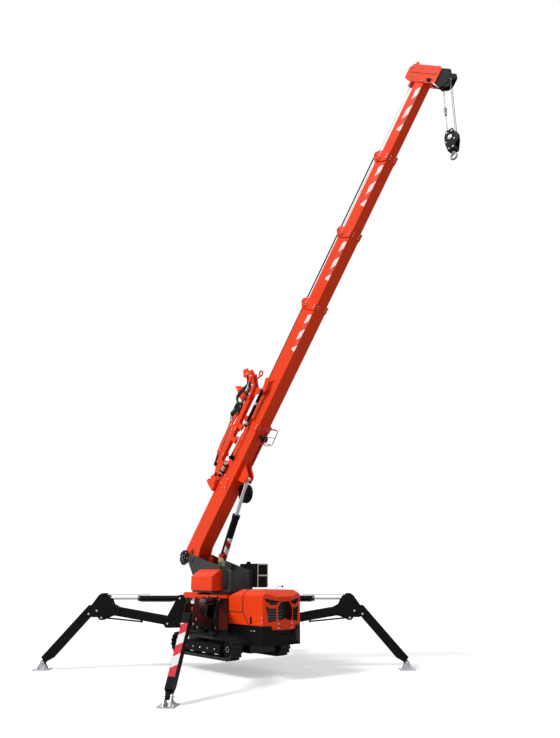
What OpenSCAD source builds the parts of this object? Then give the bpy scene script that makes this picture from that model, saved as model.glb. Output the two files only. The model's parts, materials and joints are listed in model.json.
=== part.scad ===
// Compact crawler crane on four folding outriggers, five-section boom.
// Millimetres. Drawn about the slew axis on the ground, then moved so that
// the origin is the middle of the bounding box. +X is forward, +Y is left.

/* [Part] */
// Sub-part to draw, or all

/* [Stance] */
// Height of the raised tracks over the ground
track_lift = 250; // [230:2:260]
// Boom elevation as parked, degrees
boom_angle = 50; // [48:0.5:52]
// Plan angle of each outrigger from the long axis, degrees
leg_angle = 48; // [46:0.5:50]

/* [Tracks] */
// Overall track length over the lugs
track_len = 1800; // [1760:10:1840]
// Overall track height over the lugs
track_high = 340; // [330:2:350]
// Belt width
track_wide = 200; // [180:2:210]
// Distance between the two belts' middles
track_gauge = 1000; // [980:5:1020]
// Track middle ahead of the slew axis
track_fore = 110; // [90:5:130]
// Lug height
lug_high = 20; // [16:1:24]
// Belt thickness
belt_thick = 22; // [18:1:26]

/* [Chassis] */
// Half length of the tower that carries the slew ring
tower_half_x = 330; // [315:5:340]
// Half width of the tower
tower_half_y = 340; // [325:5:345]
// Top of the tower
tower_top = 1200; // [1190:1:1205]
// Bottom of the lower frame
frame_low = 350; // [340:2:370]
// Swing axis of an outrigger, forward
swing_x = 400; // [395:1:410]
// Swing axis of an outrigger, sideways
swing_y = 530; // [525:1:545]

/* [Hood] */
// Hood nose ahead of the slew axis
nose_x = 1550; // [1530:2:1570]
// Rear of the hood
hood_rear_x = 600; // [595:1:615]
// Hood width
hood_wide = 780; // [760:2:790]
// Top of the hood
hood_top = 1300; // [1290:1:1305]
// Bottom of the hood
hood_low = 780; // [770:1:790]
// Sheet thickness of hood panels
sheet = 5; // [3:0.5:7]

/* [Outriggers] */
// Distance from swing axis to foot pivot
foot_reach = 2430; // [2410:5:2450]
// Height of the foot pivot
foot_high = 110; // [105:1:115]
// Arm box depth
arm_deep = 146; // [140:1:150]
// Arm box width
arm_wide = 110; // [104:1:116]
// Outer leg box depth
leg_deep = 156; // [150:1:160]
// Outrigger pin diameter
leg_pin = 40; // [36:1:42]
// Outrigger cylinder tube diameter
leg_tube = 90; // [80:2:94]
// Outrigger cylinder rod diameter
leg_rod_d = 45; // [40:1:50]
// Pad length
pad_len = 270; // [250:5:280]
// Pad width
pad_wide = 220; // [200:5:230]

/* [Turret] */
// Distance between the side plates' inner faces
cheek_gap = 430; // [420:2:440]
// Side plate thickness
cheek_thick = 22; // [18:1:25]
// Boom pivot behind the slew axis
pivot_back = 800; // [790:2:810]
// Boom pivot height
pivot_high = 1780; // [1770:2:1790]
// Boom pivot pin diameter
pivot_pin = 70; // [64:1:74]
// Lift cylinder lower pin behind the slew axis
ram_back = 350; // [340:2:360]
// Lift cylinder lower pin height
ram_high = 1400; // [1390:2:1410]

/* [Boom] */
// Boom middle line above the pivot
boom_rise = 220; // [215:1:225]
// Base section depth
boom_deep = 350; // [346:1:354]
// Base section width
boom_wide = 285; // [282:1:288]
// Depth lost per section
deep_step = 38; // [36:0.5:40]
// Width lost per section
wide_step = 30; // [28:0.5:31]
// Section wall
boom_wall = 5; // [4:0.25:6]
// Base section mouth along the boom
mouth_1 = 2895; // [2885:1:2905]
// Second section showing
show_2 = 2370; // [2360:1:2380]
// Third section showing
show_3 = 1335; // [1325:1:1345]
// Fourth section showing
show_4 = 1330; // [1320:1:1340]
// Fifth section showing
show_5 = 1150; // [1145:1:1160]
// Lift cylinder eye along the boom
eye_along = 1920; // [1910:1:1930]
// Lift cylinder eye below the pivot line
eye_below = 150; // [148:1:155]
// Lift cylinder tube diameter
ram_tube = 130; // [120:1:134]
// Lift cylinder rod diameter
ram_rod = 70; // [64:1:74]

/* [Hook] */
// Head sheave diameter at the rope's middle
sheave_d = 150; // [140:2:160]
// Rope diameter
rope_d = 10; // [8:0.5:11]
// Hook block top below the head sheave axle
block_drop = 924; // [900:5:950]

/* [Hidden] */
$fn = 64;

// Running fit between a pin and its bore, on the radius
pin_fit = 0.05;
// Play between a wear pad and the section sliding on it
pad_play = 0.4;
// Side play of folding pieces
side_play = 6;
// Seat between a round wheel and its belt
wheel_play = 0.3;
// Play in the slew ring
slew_play = 0.3;
// Play of a swing post between its ears
post_play = 0.3;
// Overlap of joined shapes inside one solid
weld = 2;
// Overshoot of a cut past the face it opens
over = 1;

// Outrigger pin places in the leg plane: distance from swing axis, height
root_at = [327, 731];
tube_at = [134, 1138];
rod_at = [1404, 1137];
knee_at = [1563, 936];
lock_at = [1700, 884];
stay_at = [1477, 822];
stay_root = [790, 758];
foot_at = [foot_reach, foot_high];
arm_line = knee_at - root_at;
arm_slope = atan2(arm_line[1], arm_line[0]);
arm_len = norm(arm_line);
arm_rise = 45;
// The outer leg's middle line passes outward of the knee pin and through the foot pivot
leg_mid = 102;
leg_line = foot_at - knee_at;
leg_run = sqrt(leg_line * leg_line - leg_mid * leg_mid);
leg_slope = atan2(-leg_line[1], leg_line[0]) + asin(leg_mid / norm(leg_line));
leg_wide = arm_wide - 2 * side_play;
tube_slope = atan2(rod_at[1] - tube_at[1], rod_at[0] - tube_at[0]);
tube_reach = norm(rod_at - tube_at);
bracket_gap = arm_wide + 2 * side_play;
bracket_plate = 16;
swing_pin = 50;
swing_low = 655;
swing_tall = 460;
ear_thick = 32;

// Boom sections: mouth and tail along the boom, then depth and width
mouth_2 = mouth_1 + show_2;
mouth_3 = mouth_2 + show_3;
mouth_4 = mouth_3 + show_4;
mouth_5 = mouth_4 + show_5;
tail_1 = -60;
tail_2 = mouth_2 - 2720;
tail_3 = mouth_3 - 2680;
tail_4 = mouth_4 - 2640;
tail_5 = mouth_5 - 2440;
mouths = [mouth_1, mouth_2, mouth_3, mouth_4, mouth_5];
tails = [tail_1, tail_2, tail_3, tail_4, tail_5];
function deep(k) = boom_deep - k * deep_step;
function wide(k) = boom_wide - k * wide_step;
boom_top = boom_rise + boom_deep / 2;
boom_under = boom_rise - boom_deep / 2;

// Head, in the boom frame
head_thick = 270;
head_over = 370;
head_under = 350;
head_top = boom_rise + head_over;
head_low = boom_rise - head_under;
head_half = 95;
head_plate = 15;
// Height of the hoist rope's run above the pivot line
rope_high = 482;
axle_along = mouth_5 + 100;
axle_low = -240;
axle_d = 40;
housing_low = -360;
housing_far = mouth_5 + 250;
boom_c = cos(boom_angle);
boom_s = sin(boom_angle);
axle_x = -pivot_back + axle_along * boom_c - axle_low * boom_s;
axle_z = pivot_high + axle_along * boom_s + axle_low * boom_c;
housing_cut = 60;
tip_x = -pivot_back + (housing_far - housing_cut) * boom_c - housing_low * boom_s;
pad_span = pad_len / 2 * cos(leg_angle) + pad_wide / 2 * sin(leg_angle);
rear_x = -(swing_x + foot_reach * cos(leg_angle) + pad_span);
// Middle of the bounding box, forward of the slew axis
mid_x = (tip_x + rear_x) / 2;

// Slew ring and turret heights
ring_top = tower_top + 40;
turret_floor = ring_top + slew_play;
floor_thick = 30;
floor_top = turret_floor + floor_thick;

// Frames

module ground() {
    translate([-mid_x, 0, 0]) children();
}

module at_boom() {
    translate([-pivot_back, 0, pivot_high]) rotate([0, -boom_angle, 0]) children();
}

module at_leg(front, left) {
    turn = front ? leg_angle : 180 - leg_angle;
    translate([front ? swing_x : -swing_x, left ? swing_y : -swing_y, 0])
        rotate([0, 0, left ? turn : -turn]) children();
}

// Box between two corners
module span(a, b) {
    translate(a) cube(b - a);
}

// Flat shape drawn in x and z, standing across y
module upright(y0, y1) {
    translate([0, max(y0, y1), 0]) rotate([90, 0, 0]) linear_extrude(abs(y1 - y0)) children();
}

// The same plate on both sides of the middle plane
module paired(near, far) {
    for (s = [-1, 1]) upright(s * near, s * far) children();
}

// Round bar across y at a point of the x, z plane
module cross_bar(at, d, len) {
    translate([at[0], len / 2, at[1]]) rotate([90, 0, 0]) cylinder(d = d, h = len);
}

// Tracks

belt_r = track_high / 2 - lug_high;
run_half = track_len / 2 - track_high / 2;
track_mid_z = track_lift + track_high / 2;
run_lugs = 21;
turn_lugs = 7;
lug_pitch = run_half * 2 / (run_lugs - 1);
lug_root = 17;
lug_tip = 12;

module racetrack(r) {
    square([2 * run_half, 2 * r], center = true);
    for (s = [-1, 1]) translate([s * run_half, 0]) circle(r);
}

module lug_flat() {
    polygon([[-lug_root, -weld], [lug_root, -weld], [lug_tip, lug_high], [-lug_tip, lug_high]]);
}

module track_loop() {
    upright(-track_wide / 2, track_wide / 2) union() {
        difference() {
            racetrack(belt_r);
            racetrack(belt_r - belt_thick);
        }
        for (k = [0:run_lugs - 1], s = [0, 1])
            rotate(180 * s) translate([-run_half + k * lug_pitch, belt_r]) lug_flat();
        for (k = [1:turn_lugs - 1], s = [0, 1])
            rotate(180 * s) translate([run_half, 0])
                rotate(-k * 180 / turn_lugs) translate([0, belt_r]) lug_flat();
    }
}

module at_track(left) {
    translate([track_fore, (left ? 1 : -1) * track_gauge / 2, track_mid_z]) children();
}

module track_left() {
    color("#1c1c1c") at_track(true) track_loop();
}

module track_right() {
    color("#1c1c1c") at_track(false) track_loop();
}

wheel_r = belt_r - belt_thick - wheel_play;
wheel_wide = 120;
hub_r = 55;
hub_out = 14;
beam_wide = 90;
beam_half_high = 60;
roller_r = 45;
roller_wide = 130;
roller_places = [-550, -197, 157, 510];
skirt_y = track_wide / 2 - 6;
skirt_low = -85;
skirt_high = 45;
skirt_low_in = 190;
skirt_high_in = 150;

// Wheels, rollers, beam and outer skirt plate as one welded frame
module track_frame(side) {
    for (s = [-1, 1]) {
        cross_bar([s * run_half, 0], 2 * wheel_r, wheel_wide);
        cross_bar([s * run_half, 0], 2 * hub_r, wheel_wide + 2 * hub_out);
    }
    for (x = roller_places) cross_bar([x, roller_r - wheel_r], 2 * roller_r, roller_wide);
    span([-run_half, -beam_wide / 2, -beam_half_high], [run_half, beam_wide / 2, beam_half_high]);
    upright(side * skirt_y, side * (beam_wide / 2 - weld))
        polygon([[-run_half + skirt_low_in, skirt_low], [run_half - skirt_low_in, skirt_low],
            [run_half - skirt_high_in, skirt_high], [-run_half + skirt_high_in, skirt_high]]);
}

module track_frame_left() {
    color("#2b2b2d") at_track(true) track_frame(1);
}

module track_frame_right() {
    color("#2b2b2d") at_track(false) track_frame(-1);
}

// Chassis

beam_inner_y = track_gauge / 2 - beam_wide / 2;
cross_places = [-300, 440];
cross_half = 60;
frame_half_y = 250;
frame_top = 620;
frame_rear_x = -760;
frame_front_x = 1000;
ear_half = 75;
ear_reach = 330;
tower_cut = 135;
ring_r = 300;

// Tower outline in plan, corners cut towards the swing posts
module tower_flat() {
    x = tower_half_x;
    y = tower_half_y;
    polygon([[-x + tower_cut, -y], [x - tower_cut, -y], [x, -y + tower_cut], [x, y - tower_cut],
        [x - tower_cut, y], [-x + tower_cut, y], [-x, y - tower_cut], [-x, -y + tower_cut]]);
}

// Level ear that holds one end of a swing pin
module swing_ear(front, left) {
    at_leg(front, left) difference() {
        union() {
            cylinder(r = ear_half, h = ear_thick);
            span([-ear_reach, -ear_half + weld, 0], [0, ear_half - weld, ear_thick]);
        }
        translate([0, 0, -over]) cylinder(d = swing_pin + 2 * pin_fit, h = ear_thick + 2 * over);
    }
}

module chassis_frame() {
    color("#7d2013") union() {
        span([frame_rear_x, -frame_half_y, frame_low], [frame_front_x, frame_half_y, frame_top]);
        for (x = cross_places)
            span([x - cross_half, -beam_inner_y, track_mid_z - cross_half],
                [x + cross_half, beam_inner_y, track_mid_z + cross_half]);
        translate([0, 0, frame_top - weld]) linear_extrude(tower_top - frame_top + weld) tower_flat();
        for (f = [true, false], l = [true, false]) {
            translate([0, 0, swing_low - ear_thick]) swing_ear(f, l);
            translate([0, 0, swing_low + swing_tall]) swing_ear(f, l);
        }
        translate([0, 0, tower_top - weld]) cylinder(r = ring_r, h = ring_top - tower_top + weld);
    }
}

deck_low = swing_low + swing_tall + ear_thick + 5;
deck_half_y = 410;
deck_front_x = 420;
cover_rear_x = -930;
cover_front_x = -tower_half_x - 20;
cover_half_y = 350;
cover_top = tower_top + 30;
cover_cut = 110;

// Deck plate around the tower and the rear box that it joins
module rear_cover() {
    color("#f04a12") union() {
        difference() {
            translate([0, 0, deck_low]) linear_extrude(tower_top - deck_low)
                polygon([[cover_front_x - weld, -deck_half_y], [deck_front_x - cover_cut, -deck_half_y],
                    [deck_front_x, -deck_half_y + cover_cut], [deck_front_x, deck_half_y - cover_cut],
                    [deck_front_x - cover_cut, deck_half_y], [cover_front_x - weld, deck_half_y]]);
            translate([0, 0, deck_low - over]) linear_extrude(tower_top - deck_low + 2 * over)
                tower_flat();
        }
        upright(-cover_half_y, cover_half_y)
            polygon([[cover_front_x, frame_top], [cover_front_x, cover_top],
                [cover_rear_x + cover_cut, cover_top], [cover_rear_x, cover_top - cover_cut],
                [cover_rear_x, frame_top + cover_cut], [cover_rear_x + 60, frame_top]]);
    }
}

engine_rear = 140;
engine_front = 300;
engine_half = 240;
engine_drop = 140;

module engine() {
    color("#55585c") span([hood_rear_x + engine_rear, -engine_half, hood_low],
        [nose_x - engine_front, engine_half, hood_top - engine_drop]);
}

valve_half = 210;
valve_low = 800;
valve_high = 960;
valve_deep = 95;
lever_d = 14;
lever_high = 110;
lever_pitch = 60;

module valve_bank() {
    color("#3a3a3c") union() {
        span([-valve_half + 20, -tower_half_y - valve_deep, valve_low],
            [valve_half - 20, -tower_half_y, valve_high]);
        for (k = [-2:2]) translate([k * lever_pitch, -tower_half_y - valve_deep / 2, valve_high - weld])
            cylinder(d = lever_d, h = lever_high + weld);
    }
}

// Hood

hood_half = hood_wide / 2;
side_cant = 100;
side_drop = 80;
nose_half = 150;
nose_back = 80;
nose_past = 60;
brow_x = nose_x - 130;
brow_drop = 100;
rear_slope_x = hood_rear_x + 240;
rear_drop = 115;
seam_x = 970;
seam_turn_z = 965;
seam_foot_x = 1130;
seam_play = 14;
groove = 3;
tab_low = 672;
tongue_low = hood_low - 60;
tongue_half = 250;
hinge_at = [nose_x - sheet / 2, tab_low];
hinge_pin = 12;
hinge_tube = 24;
hinge_half = 130;

// Hood body shrunk by an inset, open below when it is the inside
module hood_body(inset, base) {
    half = hood_half - inset;
    top = hood_top - inset;
    far = nose_x - inset;
    near = hood_rear_x + inset;
    intersection() {
        translate([hood_rear_x, 0, 0]) rotate([90, 0, 90]) linear_extrude(nose_x - hood_rear_x)
            polygon([[-half, base], [half, base], [half, top - side_drop], [half - side_cant, top],
                [-half + side_cant, top], [-half, top - side_drop]]);
        upright(-hood_half, hood_half)
            polygon([[near, base], [far, base], [far, top - brow_drop], [brow_x - inset, top],
                [rear_slope_x, top], [near, top - rear_drop]]);
        translate([0, 0, base]) linear_extrude(hood_top)
            polygon([[near, -half], [far - nose_back, -half], [far, -nose_half], [far, nose_half],
                [far - nose_back, half], [near, half]]);
    }
}

module hood_shell() {
    difference() {
        hood_body(0, hood_low);
        hood_body(sheet, hood_low - over);
    }
}

// Openings of the nose, drawn in y and z, for one side
module nose_openings() {
    polygon([[-350, 1180], [-115, 1132], [-165, 1088], [-245, 1076], [-345, 1138]]);
    polygon([[-335, 1062], [-240, 1030], [-180, 1040], [-168, 985], [-168, 852], [-300, 828],
        [-312, 940]]);
}

module nose_cuts() {
    translate([nose_x - nose_back - nose_past, 0, 0]) rotate([90, 0, 90])
        linear_extrude(nose_back + nose_past + over) {
        nose_openings();
        mirror([1, 0]) nose_openings();
        polygon([[-86, 1130], [86, 1130], [152, 1030], [142, 866], [98, 850], [0, 880], [-98, 850],
            [-142, 866], [-152, 1030]]);
    }
}

module hood_front() {
    color("#f04a12") difference() {
        union() {
            difference() {
                hood_shell();
                nose_cuts();
                upright(-hood_half - over, hood_half + over)
                    polygon([[hood_rear_x - over, hood_low - over],
                        [seam_foot_x + seam_play, hood_low - over],
                        [seam_x + seam_play, seam_turn_z], [seam_x + seam_play, hood_top + over],
                        [hood_rear_x - over, hood_top + over]]);
            }
            intersection() {
                difference() {
                    hood_body(0, tongue_low);
                    hood_body(sheet, tongue_low - over);
                }
                span([nose_x - nose_back, -tongue_half, tongue_low],
                    [nose_x, tongue_half, hood_low + weld]);
            }
            translate([nose_x - sheet, 0, 0]) rotate([90, 0, 90]) linear_extrude(sheet)
                polygon([[-hinge_half, tab_low], [hinge_half, tab_low], [hinge_half, tongue_low + weld],
                    [-hinge_half, tongue_low + weld]]);
            cross_bar(hinge_at, hinge_tube, 2 * hinge_half);
        }
        cross_bar(hinge_at, hinge_pin + 2 * pin_fit, 2 * hinge_half + 2 * over);
    }
}

grille_thick = 12;
grille_low = 800;
grille_high = 1195;
grille_in = 40;
slot_from = 25;
slot_to = 310;
bar_pitch = 40;
bar_gap = 26;

// Louvred panel that follows the inside of the nose
module hood_grille() {
    color("#151515") difference() {
        intersection() {
            difference() {
                hood_body(sheet, hood_low);
                hood_body(sheet + grille_thick, hood_low - over);
            }
            span([nose_x - nose_back - nose_past, -hood_half + grille_in, grille_low],
                [nose_x, hood_half - grille_in, grille_high]);
        }
        for (k = [0:8]) translate([0, 0, grille_low + 18 + k * bar_pitch])
            for (s = [-1, 1])
                span([nose_x - nose_back - nose_past - over, min(s * slot_from, s * slot_to), 0],
                    [nose_x, max(s * slot_from, s * slot_to), bar_gap]);
    }
}

module hood_rear() {
    color("#f04a12") difference() {
        hood_shell();
        upright(-hood_half - over, hood_half + over)
            polygon([[nose_x + over, hood_low - over], [seam_foot_x, hood_low - over],
                [seam_x, seam_turn_z], [seam_x, hood_top + over], [nose_x + over, hood_top + over]]);
        for (s = [-1, 1])
            span([hood_rear_x - over, min(s * (hood_half - groove), s * (hood_half + over)),
                seam_turn_z - seam_play],
                [seam_x + seam_play, max(s * (hood_half - groove), s * (hood_half + over)), seam_turn_z]);
    }
}

bumper_low = 490;
bumper_rise = 110;
bumper_rear_low = frame_front_x + 2;
bumper_nose = 20;
tab_play = 8;
chin_back = 330;
chin_front = 70;
chin_rise = 80;
lip_drop = 60;
lip_back = 40;
lip_half = nose_half + 60;

// Lower front body with a recess for the hood's tab and its hinge pin
module bumper() {
    recess = hinge_tube / 2 + tab_play;
    color("#202022") union() {
        difference() {
            intersection() {
                upright(-hood_half, hood_half)
                    polygon([[bumper_rear_low, bumper_low + bumper_rise],
                        [nose_x - chin_back, bumper_low], [nose_x - chin_front, bumper_low],
                        [nose_x + bumper_nose, bumper_low + chin_rise],
                        [nose_x + bumper_nose, hood_low - lip_drop], [nose_x - lip_back, hood_low],
                        [hood_rear_x, hood_low], [hood_rear_x, frame_top],
                        [bumper_rear_low, frame_top]]);
                translate([0, 0, bumper_low]) linear_extrude(hood_low - bumper_low)
                    polygon([[hood_rear_x, -hood_half], [nose_x - nose_back, -hood_half],
                        [nose_x + bumper_nose, -lip_half], [nose_x + bumper_nose, lip_half],
                        [nose_x - nose_back, hood_half], [hood_rear_x, hood_half]]);
            }
            span([hinge_at[0] - recess, -nose_half - tab_play, hinge_at[1] - recess],
                [nose_x + bumper_nose + over, nose_half + tab_play, hood_low + over]);
            span([nose_x - nose_back, -tongue_half - tab_play, tongue_low - tab_play],
                [nose_x + bumper_nose + over, tongue_half + tab_play, hood_low + over]);
        }
        cross_bar(hinge_at, hinge_pin, 2 * (nose_half + tab_play + weld));
    }
}

// Turret

cheek_in = cheek_gap / 2;
cheek_out = cheek_in + cheek_thick;
plate_front = 430;
plate_top = 1590;
plate_thick = 20;
cheek_rear = -560;
notch_half = 150;
notch_low = 1395;
pivot_at = [-pivot_back, pivot_high];
ram_at = [-ram_back, ram_high];
pivot_boss = 105;
pin_head = 14;

cover_low = floor_top;
cover_deep = 235;
cover_from = -425;
cover_to = 212;
cover_ridge = 1615;
cover_eave = 1500;
ridge_wide = 60;
tray_in = 20;
tray_play = 10;
tray_low = cover_top + tray_play;

module cheek_flat() {
    polygon([[cheek_rear, floor_top - weld], [plate_front, floor_top - weld], [plate_front, plate_top],
        [140, 1650], [-pivot_back + 45, pivot_high + 90], [-pivot_back - 60, pivot_high + 80],
        [-pivot_back - 90, pivot_high - 60]]);
    translate(pivot_at) circle(pivot_boss);
}

module turret_frame() {
    color("#4a4c50") union() {
        translate([0, 0, turret_floor]) cylinder(r = ring_r + 30, h = floor_thick);
        span([cheek_rear, -cheek_out, turret_floor + 8], [plate_front, cheek_out, floor_top]);
        paired(cheek_in, cheek_out) cheek_flat();
        span([cover_from + tray_in, -cheek_out - cover_deep + tray_in, tray_low],
            [cover_to - tray_in, -ring_r - tray_in, floor_top]);
        cross_bar(pivot_at, pivot_pin, 2 * (cheek_out + pin_head));
        cross_bar(ram_at, pivot_pin, 2 * cheek_in + weld);
        difference() {
            span([plate_front - plate_thick, -cheek_in - weld, floor_top - weld],
                [plate_front, cheek_in + weld, plate_top]);
            span([plate_front - plate_thick - over, -notch_half, notch_low],
                [plate_front + over, notch_half, plate_top + over]);
        }
    }
}

module side_cover() {
    color("#f04a12") translate([cover_from, 0, 0]) rotate([90, 0, 90])
        linear_extrude(cover_to - cover_from)
        polygon([[-cheek_out, cover_low], [-cheek_out - cover_deep, cover_low],
            [-cheek_out - cover_deep, cover_eave], [-cheek_out - ridge_wide, cover_ridge],
            [-cheek_out, cover_ridge]]);
}

tank_rear = 60;
tank_front = 560;
tank_low = 1318;
tank_top = 1712;
tank_deep = 235;
slot_wide = 14;
slot_pitch = 34;
slot_deep = 16;

module oil_tank() {
    color("#1e1e20") difference() {
        span([tank_rear, cheek_out, tank_low], [tank_front, cheek_out + tank_deep, tank_top]);
        for (k = [0:5], z = [tank_low + 40, tank_low + 220])
            translate([tank_front - slot_deep, cheek_out + 28 + k * slot_pitch, z])
                cube([slot_deep + over, slot_wide, 135]);
    }
}

lamp_x = 150;
lamp_y = -cheek_out - ridge_wide / 2;
lamp_d = 56;
lamp_foot = 60;
lamp_tall = 200;

module signal_tower() {
    color("#c8a020") translate([lamp_x, lamp_y, cover_ridge]) union() {
        cylinder(d = 26, h = lamp_foot + weld);
        translate([0, 0, lamp_foot]) cylinder(d = lamp_d, h = lamp_tall);
    }
}

// Lift cylinder

eye_x = -pivot_back + eye_along * boom_c + eye_below * boom_s;
eye_z = pivot_high + eye_along * boom_s - eye_below * boom_c;
ram_reach = norm([eye_x, eye_z] - ram_at);
ram_slope = atan2(eye_z - ram_high, eye_x + ram_back);
barrel_len = 1290;
ram_in = 1320;
ram_floor = 140;
ram_eye_d = 100;
ram_eye_wide = 76;
gland_d = ram_tube + 14;
gland_len = 70;

module at_ram() {
    translate([-ram_back, 0, ram_high]) rotate([0, -ram_slope, 0]) children();
}

// Round bar along the frame's x
module along_bar(x0, x1, d) {
    translate([x0, 0, 0]) rotate([0, 90, 0]) cylinder(d = d, h = x1 - x0);
}

module lift_barrel() {
    color("#e8e4dc") at_ram() difference() {
        union() {
            along_bar(0, barrel_len, ram_tube);
            along_bar(barrel_len - gland_len, barrel_len, gland_d);
            cross_bar([0, 0], ram_tube - 6, 160);
        }
        cross_bar([0, 0], pivot_pin + 2 * pin_fit, 170);
        along_bar(ram_floor, barrel_len + over, ram_rod + 2 * pin_fit);
    }
}

module lift_rod() {
    color("#d8dade") at_ram() union() {
        along_bar(ram_reach - ram_in, ram_reach, ram_rod);
        cross_bar([ram_reach, 0], ram_eye_d, ram_eye_wide);
    }
}

// Boom

collar_len = 110;
collar_thick = 8;
guide_thick = 8;
guide_back = 200;
ear_rise = 85;
ear_roll_d = 36;
roll_back = 82;
roll_drop = 34;
runner_len = 100;

module tube_box(u0, u1, d, w) {
    span([u0, -w / 2, boom_rise - d / 2], [u1, w / 2, boom_rise + d / 2]);
}

// Side plate at a mouth, with the ear that carries the top roller
module mouth_flat(k) {
    m = mouths[k];
    top = boom_rise + deep(k) / 2 + collar_thick;
    low = boom_rise - deep(k) / 2 - collar_thick;
    polygon([[m, low + 12], [m, top], [m - 35, top + ear_rise - 20], [m - 60, top + ear_rise],
        [m - 105, top + ear_rise], [m - 130, top + ear_rise - 30], [m - guide_back, top - 4],
        [m - guide_back + 75, low + 12]]);
}

// One telescoping section: box, mouth collar with wear faces, tail runners
module section(k) {
    d = deep(k);
    w = wide(k);
    fit = pad_play * 2;
    last = k == 4;
    side = w / 2 + collar_thick;
    difference() {
        union() {
            tube_box(tails[k], mouths[k], d, w);
            if (!last) {
                tube_box(mouths[k] - collar_len, mouths[k], d + 2 * collar_thick, w + 2 * collar_thick);
                paired(side - weld, side + guide_thick) mouth_flat(k);
                cross_bar([mouths[k] - roll_back,
                    boom_rise + d / 2 + collar_thick + ear_rise - roll_drop], ear_roll_d, 2 * side);
            }
            if (k > 0)
                tube_box(tails[k], tails[k] + runner_len, deep(k - 1) - 2 * boom_wall - fit,
                    wide(k - 1) - 2 * boom_wall - fit);
        }
        tube_box(k > 0 ? tails[k] - over : tails[k] + boom_wall, mouths[k] - collar_len,
            d - 2 * boom_wall, w - 2 * boom_wall);
        if (last)
            tube_box(mouths[k] - collar_len - over, mouths[k] - boom_wall, d - 2 * boom_wall,
                w - 2 * boom_wall);
        else
            tube_box(mouths[k] - collar_len - over, mouths[k] + over, deep(k + 1) + fit,
                wide(k + 1) + fit);
    }
}

lug_in = ram_eye_wide / 2 + side_play + 2;
lug_thick = 22;
lug_base = 160;
lug_nose = 62;
foot_boss = 85;
foot_plate = 30;

module boom_base() {
    half = boom_wide / 2;
    color("#f04a12") at_boom() difference() {
        union() {
            section(0);
            paired(lug_in, lug_in + lug_thick)
                polygon([[eye_along - lug_base, boom_under + weld],
                    [eye_along + lug_base + 60, boom_under + weld],
                    [eye_along + lug_nose + 40, -eye_below - 20],
                    [eye_along + lug_nose, -eye_below - lug_nose],
                    [eye_along - lug_nose, -eye_below - lug_nose]]);
            paired(lug_in + lug_thick - weld, lug_in + lug_thick + pin_head)
                translate([eye_along, -eye_below]) circle(38);
            paired(half - foot_plate, half) {
                polygon([[-70, -40], [90, -20], [260, boom_under + weld], [tail_1, boom_under + weld]]);
                circle(foot_boss);
            }
            paired(half - weld, cheek_in - side_play) circle(foot_boss - 8);
        }
        cross_bar([0, 0], pivot_pin + 2 * pin_fit, cheek_gap);
    }
}

module boom_2() {
    color("#f04a12") at_boom() section(1);
}

module boom_3() {
    color("#f04a12") at_boom() section(2);
}

module boom_4() {
    color("#f04a12") at_boom() section(3);
}

module boom_5() {
    color("#f04a12") at_boom() section(4);
}

winch_at = [-205, 330];
drum_d = 170;
flange_d = 270;
winch_half = 150;
winch_plate = 18;
motor_d = 130;
motor_out = 30;

// Drum between two side plates that bolt to the boom's tail
module winch() {
    color("#1b1b1d") at_boom() union() {
        cross_bar(winch_at, drum_d, 2 * winch_half);
        cross_bar(winch_at, motor_d, 2 * (winch_half + motor_out));
        paired(winch_half - weld, winch_half + winch_plate) {
            translate(winch_at) circle(d = flange_d);
            polygon([[winch_at[0], winch_at[1] - 130], [tail_1, boom_under + 60], [tail_1, boom_top - 20],
                [winch_at[0], winch_at[1] + 130]]);
        }
        span([tail_1 - 14, -winch_half, boom_under + 70], [tail_1, winch_half, boom_top - 30]);
    }
}

reel_at = [1610, boom_under - 185];
reel_d = 340;
reel_in = 88;
reel_out = 150;
reel_rim = 8;
reel_lip = 30;

module cable_reel() {
    color("#1b1b1d") at_boom() union() {
        upright(reel_in - 16, reel_in)
            polygon([[reel_at[0] - 60, boom_under], [reel_at[0] + 60, boom_under],
                [reel_at[0] + 40, reel_at[1] - 40], [reel_at[0] - 40, reel_at[1] - 40]]);
        translate([reel_at[0], 0, reel_at[1]]) rotate([90, 0, 0]) translate([0, 0, -reel_out])
            rotate_extrude()
            polygon([[0, 0], [reel_d / 2, 0], [reel_d / 2, reel_rim], [reel_d / 2 - reel_lip, reel_rim],
                [reel_d / 2 - reel_lip, reel_out - reel_in - reel_rim],
                [reel_d / 2, reel_out - reel_in - reel_rim],
                [reel_d / 2, reel_out - reel_in + weld], [0, reel_out - reel_in + weld]]);
    }
}

work_at = [2700, boom_under - 130];
work_d = 130;

// Lamp hung under the base section
module work_lamp() {
    color("#2a2a2c") at_boom() union() {
        span([work_at[0] - 40, -12, work_at[1] + 20], [work_at[0] + 10, 12, boom_under]);
        translate([work_at[0], 0, work_at[1]]) rotate([0, 60, 0]) translate([0, 0, -50]) rotate_extrude()
            polygon([[0, 0], [work_d / 2 - 20, 0], [work_d / 2, 40], [work_d / 2, 95],
                [work_d / 2 - 8, 95], [work_d / 2 - 12, 80], [0, 80]]);
    }
}

jib_in = -120;
jib_out = -200;
jib_low = boom_top + 130;
jib_high = boom_top + 245;
jib_from = 1750;
jib_to = 3300;
jib_mid = (jib_in + jib_out) / 2;
jib_feet = [1780, 2300, 2580];
jib_pipe_d = 56;
jib_link = 3440;
strut_y = -205;
strut_w = boom_rise + 85;
strut_d = 56;
link_face = strut_y + strut_d / 2;

rest_from = 1270;
clasp_in = 10;
clasp_out = 14;
clasp_len = 60;
jib_clasps = [1960, 2500];

// Ear that carries the jib's top pin
module jib_ear_flat() {
    polygon([[jib_to - 160, jib_low + 10], [jib_to + 100, jib_low + 20], [jib_to + 270, jib_high + 130],
        [jib_to + 210, jib_high + 190], [jib_to + 60, jib_high + 40], [jib_to - 160, jib_high - 10]]);
}

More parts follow.
